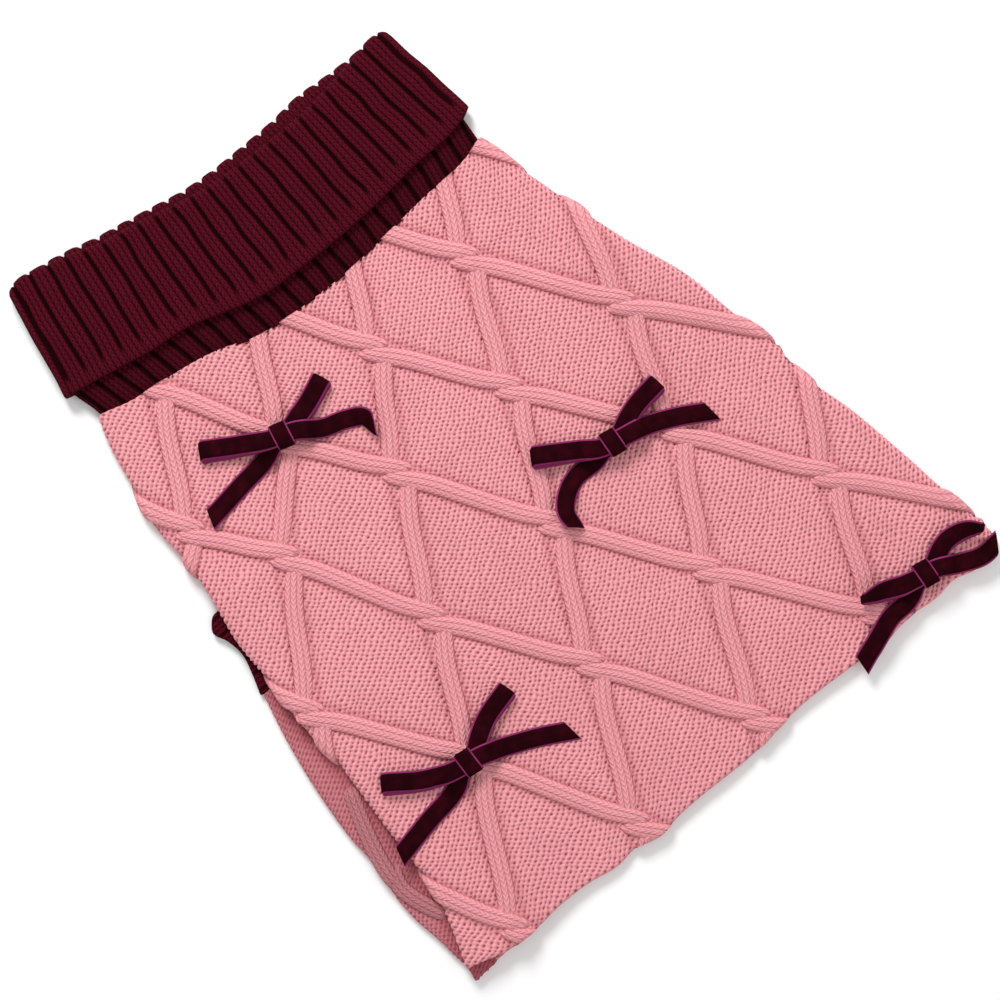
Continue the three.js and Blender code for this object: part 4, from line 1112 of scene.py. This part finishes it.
# The same for the knot's band, with its plain back as the last three rows
KNOT_BAND = table(
    "place thick", (-1, 0.1), (-0.99, 0.3), (-0.93, 0.42), (-0.86, 0.45), (-0.8, 0.9), (-0.4, 1.1),
    (0, 1.15), (0.4, 1.1), (0.8, 0.9), (0.86, 0.45), (0.93, 0.42), (0.99, 0.3), (1, 0.1), (0.6, 0),
    (0, 0), (-0.6, 0),
)
KNOT_PILE = 13
KNOT_PINCH = 0.07


def panel_height(x, y):
    """Height of the back panel's highest points, cables included."""
    over, under = cable_distances(x, y)
    near = np.minimum(np.abs(over), np.abs(under)) / (CABLE_WIDTH / 2)
    share = back_share(x, y)
    left, right = back_sides(y)
    inside = (share > 0.002) & (share < 0.998) & (x > left) & (x < right)
    height = back_face(x, y)[0] + 0.35 + 1.8 * np.clip(1 - near ** 2.6, 0, 1) ** 0.6
    return np.where(inside, height, 0)


def rest_height(x, y):
    spots = [panel_height(x + a, y + b) for a in REST_SPOTS for b in REST_SPOTS]
    return np.max(spots, axis=0) + LAYER_GAP / 2


def smooth(values, reach=4):
    """A running mean that never sinks far under the values."""
    kernel = np.hanning(2 * reach + 3)[1:-1]
    padded = np.pad(values, reach, mode="edge")
    return np.convolve(padded, kernel / kernel.sum(), mode="valid")


def knot_axis(bow):
    turn = math.radians(bow["turn"])
    return np.array([math.cos(turn), math.sin(turn), 0])


def arm_route(bow, name):
    """One arm of a bow, out of the knot's mouth and through its points, in steps of about 1 mm."""
    rows, arm = bow[name], ARMS[name]
    side = arm["side"]
    knot = np.array(bow["knot"], float)
    axis = knot_axis(bow)[:2]
    mouth = knot + axis * side * arm["mouth"] * KNOT_LENGTH + np.array([-axis[1], axis[0]]) * arm["aside"]
    starts = [mouth] if arm["turns"] else [knot, mouth]
    places = np.vstack([*starts, knot + np.stack([rows["x"], rows["y"]], -1)])
    roll = np.concatenate([np.zeros(len(starts)), rows["roll"]])
    length = np.concatenate([[0], np.cumsum(np.linalg.norm(np.diff(places, axis=0), axis=1))])
    route = {"at": length, "x": places[:, 0], "y": places[:, 1], "roll": roll}
    at = np.linspace(0, length[-1], round(length[-1]) + 1)
    spot = np.stack([curve(route, "at", at, "x"), curve(route, "at", at, "y"), np.zeros(len(at))], -1)
    along = np.gradient(spot, axis=0)
    if not arm["turns"]:
        along[0] = knot_axis(bow) * side
    along /= np.linalg.norm(along, axis=1)[:, None]
    across = np.stack([-along[:, 1], along[:, 0], np.zeros(len(at))], -1) * side
    away = np.linalg.norm(spot[:, :2] - knot, axis=1)
    width = RIBBON_WIDTH * mix(arm["gathered"], 1, ease(KNOT_LENGTH / 2, 1.6 * KNOT_LENGTH, away))
    cut = bow.get(name + "_cut", arm["cut"]) * ease(away.max() - 5, away.max(), away)
    return {"spot": spot, "along": along, "across": across, "away": away, "width": width,
            "roll": np.radians(curve(route, "at", at, "roll")), "cut": cut}


def ribbon_mesh(name, stations, closed):
    """A ribbon with a pile face, woven edges and a plain back."""
    spot, across, out = stations["spot"], stations["across"], stations["out"]
    half = stations["width"][:, None, None] / 2
    side = np.concatenate([PILE["place"], BACK_PLACES, PILE["place"][:1]])
    thick = np.concatenate([PILE["thick"], np.zeros(len(BACK_PLACES)), PILE["thick"][:1]])
    shape = side[None, :, None]
    points = spot[:, None] + across[:, None] * half * shape
    points = points + out[:, None] * thick[None, :, None] * RIBBON_WALL
    points = points - stations["along"][:, None] * half * shape * stations["cut"][:, None, None]
    u = np.where(np.arange(len(side)) < len(PILE["place"]), (side + 1) / 2, 2 + (1 - side) / 2)
    u[-1] = 3
    length = np.concatenate([[0], np.cumsum(np.linalg.norm(np.diff(spot, axis=0), axis=1))])
    if closed:
        points = np.concatenate([points, points[:1]])
        length = np.append(length, length[-1] + 1)
    grid_u, grid_v = np.meshgrid(u, length)
    return add_grid(name, points, np.stack([grid_u, grid_v], -1))


def tilted(stations, out):
    """Turns each station's width and facing by its roll, and lifts it by as much as its edge dips."""
    roll = stations["roll"][:, None]
    across = stations["across"]
    stations["spot"] = stations["spot"] + (0, 0, 1) * stations["width"][:, None] / 2 * np.abs(np.sin(roll))
    stations["across"] = across * np.cos(roll) + np.array([0, 0, 1.0]) * np.sin(roll)
    stations["out"] = out * np.cos(roll) - across * np.sin(roll) * np.sign(out[..., 2:])
    return stations


def run_together(parts):
    return {key: np.concatenate([part[key] for part in parts]) for key in parts[0]}


def backwards(stations):
    return {key: values[::-1] for key, values in stations.items()}


def facing(arm, up):
    return np.tile([0, 0, float(up)], (len(arm["spot"]), 1))


def top_below(spot, others):
    """Height just over the ribbons that pass below each place."""
    apart = np.linalg.norm(spot[:, None, :2] - others["spot"][None, :, :2], axis=2)
    over = np.where(apart < RIBBON_WIDTH - 1, others["spot"][None, :, 2] + RIBBON_WALL + LAYER_GAP, 0)
    return over.max(1)


def tail_of(bow, name, base, level, loops=None):
    """A tail that lies on the panel and, where loops are given, over them."""
    arm = arm_route(bow, name)
    spot, away = arm["spot"], arm["away"]
    rest = rest_height(spot[:, 0], spot[:, 1])
    low = np.maximum(rest, base - LOOPS_LEVEL - TAILS_LEVEL)
    z = np.maximum(rest, mix(base + level, low, ease(KNOT_MOUTH, 2 * KNOT_LENGTH, away)))
    if loops:
        z = np.maximum(z, top_below(spot, loops) * (away > KNOT_MOUTH) * (away < 2.4 * KNOT_LENGTH))
    spot[:, 2] = smooth(z, 3)
    return tilted(arm, facing(arm, 1))


def loop_of(bow, name, base, level, tails=None):
    """A loop's lower layer, round end and upper layer, each outwards or round from the lower one."""
    arm = arm_route(bow, name)
    spot, away = arm["spot"], arm["away"]
    rest = rest_height(spot[:, 0], spot[:, 1])
    opened = ease(KNOT_LENGTH / 2, 2 * KNOT_LENGTH, away)
    low = np.maximum(rest, mix(base + level, rest, opened))
    if tails:
        low = np.maximum(low, top_below(spot, tails) * (away > KNOT_MOUTH))
    low = smooth(low, 3) + RIBBON_WALL
    gap = mix(SEAM_GAP, LOOP_OPENING, opened)
    slip = IMAGE_DOWN * (LOOP_SLIP * opened * away / away.max())[:, None]
    lower = tilted(dict(arm, spot=np.stack([spot[:, 0], spot[:, 1], low], -1) + slip), facing(arm, -1))
    upper = tilted(dict(arm, spot=np.stack([spot[:, 0], spot[:, 1], low + gap], -1)), facing(arm, 1))
    turn = np.radians([30, 60, 90, 120, 150])[:, None]
    share = (1 - np.cos(turn)) / 2
    end = {}
    for key in lower:
        first, last = lower[key][-1:], upper[key][-1:]
        end[key] = mix(first, last, share if first.ndim > 1 else share[:, 0])
    along = lower["along"][-1:]
    end["spot"] = end["spot"] + along * LOOP_OPENING / 2 * np.sin(turn)
    end["out"] = upper["out"][-1:] * -np.cos(turn) + along * np.sin(turn)
    return lower, end, upper


def bow_ribbons(bow, base):
    """The loops as one closed band, and the tails as one strip. On the left the loop lies over the tail."""
    left_tail = tail_of(bow, "left_tail", base, TAILS_LEVEL)
    right = loop_of(bow, "right_loop", base, TAILS_LEVEL)
    left = loop_of(bow, "left_loop", base, LOOPS_LEVEL, left_tail)
    right_tail = tail_of(bow, "right_tail", base, UPPER_TAIL_LEVEL, right[2])
    left_tail["along"] = -left_tail["along"]
    left_tail["cut"] = -left_tail["cut"]
    tails = run_together([backwards(left_tail), {key: values[1:] for key, values in right_tail.items()}])
    loops = run_together([
        right[0], right[1], backwards(right[2]), {key: values[1:] for key, values in left[2].items()},
        backwards(left[1]), {key: values[:0:-1] for key, values in left[0].items()},
    ])
    return loops, tails


def knot_mesh(name, bow, base):
    """A band of ribbon pulled tight round the gathered layers."""
    axis = knot_axis(bow)
    across = np.array([-axis[1], axis[0], 0])
    end = KNOT_BAND["place"]
    turn = np.linspace(0, TURN, 41)[:, None]
    low, high = base + RIBBON_WALL, base + KNOT_TOP_LEVEL
    pinch = 1 - KNOT_PINCH * np.cos(turn * 2 + 0.6) * (1 - end[None, :] ** 2)
    crease = 0.25 * np.exp(-(((turn - 1.9 - 0.35 * end[None, :]) / 0.16) ** 2))
    crease = crease + 0.2 * np.exp(-(((turn - 1.1 - 0.3 * end[None, :]) / 0.14) ** 2))
    grow = KNOT_BAND["thick"][None, :] * RIBBON_WALL - crease
    side = np.sign(np.cos(turn)) * np.abs(np.cos(turn)) ** 0.7 * (KNOT_HALF * pinch + grow)
    rise = np.sign(np.sin(turn)) * np.abs(np.sin(turn)) ** 0.7 * ((high - low) / 2 + grow)
    lean = 0.9 * side / KNOT_HALF
    place = end[None, :] * KNOT_LENGTH / 2 * 1.06 - lean * 0.5
    points = np.array([*bow["knot"], (low + high) / 2]) + axis * place[..., None] + across * side[..., None]
    points[..., 2] += rise
    points = np.concatenate([points, points[:, :1]], 1)
    u = np.where(np.arange(len(end)) < KNOT_PILE, (end + 1) / 2, 2 + (1 - end) / 2)
    grid_u, grid_v = np.meshgrid(np.append(u, 3), turn[:, 0] * KNOT_HALF)
    return add_grid(name, points, np.stack([grid_u, grid_v], -1))


class SWEATER_OT_bows(bpy.types.Operator):
    """Ties the four velvet bows"""

    bl_idname = "sweater.bows"
    bl_label = "Velvet bows"

    def execute(self, context):
        finish = velvet_ribbon(context.scene.sweater_ribbon)
        for name, bow in BOWS.items():
            axis = knot_axis(bow)
            feet = np.linspace(-KNOT_LENGTH, KNOT_LENGTH, 5)
            base = rest_height(bow["knot"][0] + axis[0] * feet, bow["knot"][1] + axis[1] * feet).max()
            loops, tails = bow_ribbons(bow, base)
            pieces = {
                "loops": ribbon_mesh(f"{name}_loop_ribbon", loops, True),
                "tails": ribbon_mesh(f"{name}_tail_ribbon", tails, False),
                "knot": knot_mesh(f"{name}_knot_band", bow, base),
            }
            for part, piece in pieces.items():
                close_up(piece)
                declare(piece, finish, "velvet_ribbon", f"{name}_{part}")
        return {"FINISHED"}


# Materials
FUZZ_SCALE = 1400
PATCH_SCALE = 45
PATCH_SHARE = 0.25
BRUSH_SCALE = 160
PILE_SCALE = 2500


class Wire:
    """A value worked out by math nodes, written as plain arithmetic."""

    def __init__(self, tree, socket):
        self.tree = tree
        self.socket = socket

    def work(self, operation, *others):
        node = self.tree.nodes.new("ShaderNodeMath")
        node.operation = operation
        self.tree.links.new(self.socket, node.inputs[0])
        for place, other in enumerate(others, 1):
            if isinstance(other, Wire):
                self.tree.links.new(other.socket, node.inputs[place])
            else:
                node.inputs[place].default_value = other
        return Wire(self.tree, node.outputs[0])

    def __add__(self, other):
        return self.work("ADD", other)

    def __sub__(self, other):
        return self.work("SUBTRACT", other)

    def __mul__(self, other):
        return self.work("MULTIPLY", other)

    def power(self, other):
        return self.work("POWER", other)

    def absolute(self):
        return self.work("ABSOLUTE")

    def wave(self):
        """The cosine of this many turns."""
        return (self * TURN).work("COSINE")

    def from_middle(self):
        """Distance to the nearest whole number."""
        return (self - (self + 0.5).work("FLOOR")).absolute()

    def between(self, low, high):
        """0 at low, 1 at high, and smooth between them."""
        node = self.tree.nodes.new("ShaderNodeMapRange")
        node.interpolation_type = "SMOOTHSTEP"
        self.tree.links.new(self.socket, node.inputs["Value"])
        node.inputs["From Min"].default_value = low
        node.inputs["From Max"].default_value = high
        return Wire(self.tree, node.outputs["Result"])


def new_material(name):
    material = bpy.data.materials.new(name)
    material.use_nodes = True
    shader = material.node_tree.nodes["Principled BSDF"]
    shader.inputs["Roughness"].default_value = 0.9
    shader.inputs["Specular IOR Level"].default_value = 0.03
    return material, material.node_tree, shader


def stitch_wires(tree):
    """The stitch coordinates of the piece's own UV map."""
    node = tree.nodes.new("ShaderNodeUVMap")
    node.uv_map = "Stitches"
    split = tree.nodes.new("ShaderNodeSeparateXYZ")
    tree.links.new(node.outputs["UV"], split.inputs[0])
    return Wire(tree, split.outputs["X"]), Wire(tree, split.outputs["Y"])


def attribute_wire(tree, name):
    node = tree.nodes.new("ShaderNodeAttribute")
    node.attribute_name = name
    return Wire(tree, node.outputs["Fac"])


def noise_wire(tree, scale):
    """Noise on the piece's own coordinates."""
    place = tree.nodes.new("ShaderNodeTexCoord")
    node = tree.nodes.new("ShaderNodeTexNoise")
    node.inputs["Scale"].default_value = scale
    tree.links.new(place.outputs["Object"], node.inputs["Vector"])
    return Wire(tree, node.outputs["Fac"])


def blend_colour(tree, share, low, high):
    """A colour between two others. Each is a colour or a socket."""
    node = tree.nodes.new("ShaderNodeMix")
    node.data_type = "RGBA"
    tree.links.new(share.socket, node.inputs["Factor"])
    for name, colour in (("A", low), ("B", high)):
        socket = next(s for s in node.inputs if s.name == name and s.type == "RGBA")
        if isinstance(colour, bpy.types.NodeSocket):
            tree.links.new(colour, socket)
        else:
            socket.default_value = (*colour, 1)
    return next(s for s in node.outputs if s.type == "RGBA")


def blended(low, high, share):
    return [mix(a, b, share) for a, b in zip(low, high)]


def add_bump(tree, shader, height, distance):
    node = tree.nodes.new("ShaderNodeBump")
    node.inputs["Distance"].default_value = distance * MM
    tree.links.new(height.socket, node.inputs["Height"])
    tree.links.new(node.outputs["Normal"], shader.inputs["Normal"])


def add_fuzz(shader, tint, weight):
    shader.inputs["Sheen Weight"].default_value = weight
    shader.inputs["Sheen Roughness"].default_value = 0.5
    shader.inputs["Sheen Tint"].default_value = (*tint, 1)


def purl_cloth(name, settings):
    """Reverse stocking stitch: slanted purl bumps, with painted shade in the deep gaps, in the dips along the
    cables, in the small gaps beside them and on the belly's turned-up strip.
    """
    material, tree, shader = new_material(name)
    u, v = stitch_wires(tree)
    relief = (u - v).wave() * SLANT_SHARE + (u + v).wave() * CROSS_SHARE + v.wave() * ROW_SHARE
    fuzz = noise_wire(tree, FUZZ_SCALE)
    patch = noise_wire(tree, PATCH_SCALE)
    relief = relief + (fuzz - 0.5) * 0.9
    # painted shade: the lower the relief, the nearer the colour comes to the gap shade
    tone = relief.between(-1.1, 0.8)
    tone = (tone * -1 + 1).power(3) * -1 + 1
    shade = tone * ((patch - 0.5) * PATCH_SHARE + 1)
    # painted shade in the dips along the cables, and on the belly's strip by the back panel's edge
    shade = shade * (attribute_wire(tree, "valley_and_shade") * -0.25 + 1)
    pink = blend_colour(tree, shade, settings.pink_gap_shade, settings.pink)
    # painted shade: the small gaps beside the cables are darkened further than the other gaps
    dark = [channel * 0.45 for channel in settings.pink_gap_shade]
    hole_and_shade = attribute_wire(tree, "hole_and_shade") * (tone * -1 + 1)
    tree.links.new(blend_colour(tree, hole_and_shade.between(0.1, 0.7), pink, dark), shader.inputs["Base Color"])
    add_bump(tree, shader, relief.between(-1, 1.2), 0.55)
    add_fuzz(shader, settings.pink, 0.3)
    return material


def knit_cloth(name, colour, gap, ribbed=False):
    """Columns of knit stitches, with painted shade in the gaps between the strokes and, on ribs, in a channel
    every fourth column and on the collar's lower layer.
    """
    material, tree, shader = new_material(name)
    u, v = stitch_wires(tree)
    x = u.from_middle()
    stroke = (v + x * STROKE_SLANT).wave() * 0.5 + 0.5
    fuzz = noise_wire(tree, FUZZ_SCALE)
    patch = noise_wire(tree, PATCH_SCALE)
    edge = (x * 2).power(4)
    relief = (edge * -COLUMN_FADE + 1) * (stroke * 0.5 + 0.5) + (fuzz - 0.5) * 0.5
    # painted shade: the gaps between the strokes take the gap colour
    tone = relief.between(0.1, 1.0) * ((patch - 0.5) * PATCH_SHARE + 1)
    # painted shade in the rib channels and on the collar's lower layer
    if ribbed:
        tone = tone * (attribute_wire(tree, "groove").between(0.05, 0.75) * -1 + 1)
    tree.links.new(blend_colour(tree, tone, gap, colour), shader.inputs["Base Color"])
    add_bump(tree, shader, relief, 0.5)
    add_fuzz(shader, colour, 0.15)
    return material


def velvet_ribbon(settings):
    """Velvet pile that brightens at a glance, between ribbed woven edges. The back is ribbed too."""
    material, tree, shader = new_material("Velvet ribbon")
    u, v = stitch_wires(tree)
    edge = 1 - settings.selvage_width / MM / (RIBBON_WIDTH / 2)
    from_middle = (u - 0.5).absolute() * 2
    woven = from_middle.between(edge - 0.03, edge + 0.03)
    rib = (v * 1.9).wave() * 0.5 + 0.5
    brush = noise_wire(tree, BRUSH_SCALE)
    weave = blend_colour(tree, rib, [channel * 0.45 for channel in settings.selvage], settings.selvage)
    bright = [min(1, channel * 2.4) for channel in settings.velvet]
    pile = blend_colour(tree, brush.between(0.35, 0.85), settings.velvet, bright)
    tree.links.new(blend_colour(tree, woven, pile, weave), shader.inputs["Base Color"])
    height = woven * rib * 0.6 + noise_wire(tree, PILE_SCALE) * 0.4
    add_bump(tree, shader, height, 0.25)
    shader.inputs["Roughness"].default_value = 0.8
    shader.inputs["Sheen Weight"].default_value = 0.12
    shader.inputs["Sheen Roughness"].default_value = 0.35
    shader.inputs["Sheen Tint"].default_value = (*settings.selvage, 1)
    return material


# The stage: floor, lights and the camera straight above
VIEW_MIDDLE = (0, -25)  # what the camera looks at, before the shift to the footprint's middle
SENSOR_WIDTH = 36
FLOOR_SIZE = 8
WORLD_LIGHT = 0.62
# Each lamp: how far to the picture's right, up the picture and above the floor it hangs, its size and power
LAMPS = {
    "key_light": {"right": -0.45, "up": 1.1, "high": 1.0, "size": 0.6, "power": 20},
    "fill_light": {"right": 0.9, "up": -0.3, "high": 1.3, "size": 1.2, "power": 4},
}


class SWEATER_OT_stage(bpy.types.Operator):
    """Lays out the floor, the lights and the camera"""

    bl_idname = "sweater.stage"
    bl_label = "Stage"

    def execute(self, context):
        settings = context.scene.sweater_stage
        bpy.ops.object.select_all(action="DESELECT")
        bpy.ops.mesh.primitive_plane_add(size=FLOOR_SIZE)
        floor = context.object
        floor.name = "floor"
        finish, _, shader = new_material("Pale floor")
        shader.inputs["Base Color"].default_value = (*settings.floor, 1)
        floor.data.materials.append(finish)

        middle = (Vector((*VIEW_MIDDLE, 0)) + Vector((*FOOTPRINT_SHIFT, 0))) * MM
        turn = settings.view_turn
        right = Vector((math.cos(turn), math.sin(turn), 0))
        up = Vector((-math.sin(turn), math.cos(turn), 0))
        bpy.ops.object.camera_add()
        camera = context.object
        camera.data.sensor_width = SENSOR_WIDTH
        camera.data.lens = settings.lens
        distance = settings.view_width * settings.lens / SENSOR_WIDTH
        camera.location = middle + Vector((0, 0, distance))
        camera.rotation_euler = (0, 0, turn)
        context.scene.camera = camera

        for name, lit in LAMPS.items():
            place = right * lit["right"] + up * lit["up"] + Vector((0, 0, lit["high"]))
            bpy.ops.object.light_add(type="AREA")
            lamp = context.object
            lamp.name = name
            lamp.data.shape = "DISK"
            lamp.data.size = lit["size"]
            lamp.data.energy = lit["power"]
            lamp.location = middle + place
            lamp.rotation_euler = (-place).to_track_quat("-Z", "Y").to_euler()
        world = bpy.data.worlds.new("Studio")
        world.use_nodes = True
        world.node_tree.nodes["Background"].inputs["Color"].default_value = (1, 1, 1, 1)
        world.node_tree.nodes["Background"].inputs["Strength"].default_value = WORLD_LIGHT
        context.scene.world = world
        context.scene.view_settings.view_transform = "Standard"
        return {"FINISHED"}


class SWEATER_PT_panel(bpy.types.Panel):
    """The steps that make the sweater"""

    bl_label = "Sweater"
    bl_idname = "SWEATER_PT_panel"
    bl_space_type = "VIEW_3D"
    bl_region_type = "UI"
    bl_category = "Sweater"

    def draw(self, context):
        for step in STEPS:
            self.layout.operator(step.bl_idname)


STEPS = (
    SWEATER_OT_stage, SWEATER_OT_back_panel, SWEATER_OT_cables, SWEATER_OT_belly_panel,
    SWEATER_OT_collar, SWEATER_OT_leg_cuffs, SWEATER_OT_bows,
)
SETTINGS = {
    "sweater_knit": KnitSettings, "sweater_cable": CableSettings, "sweater_ribbon": RibbonSettings,
    "sweater_stage": StageSettings,
}


def register():
    for group in (*SETTINGS.values(), *STEPS, SWEATER_PT_panel):
        bpy.utils.register_class(group)
    for name, group in SETTINGS.items():
        setattr(bpy.types.Scene, name, PointerProperty(type=group))


def unregister():
    for name in SETTINGS:
        delattr(bpy.types.Scene, name)
    for group in (SWEATER_PT_panel, *reversed(STEPS), *reversed(tuple(SETTINGS.values()))):
        bpy.utils.unregister_class(group)


def main():
    register()
    for step in STEPS:
        group, name = step.bl_idname.split(".")
        getattr(getattr(bpy.ops, group), name)()


if __name__ == "__main__":
    main()
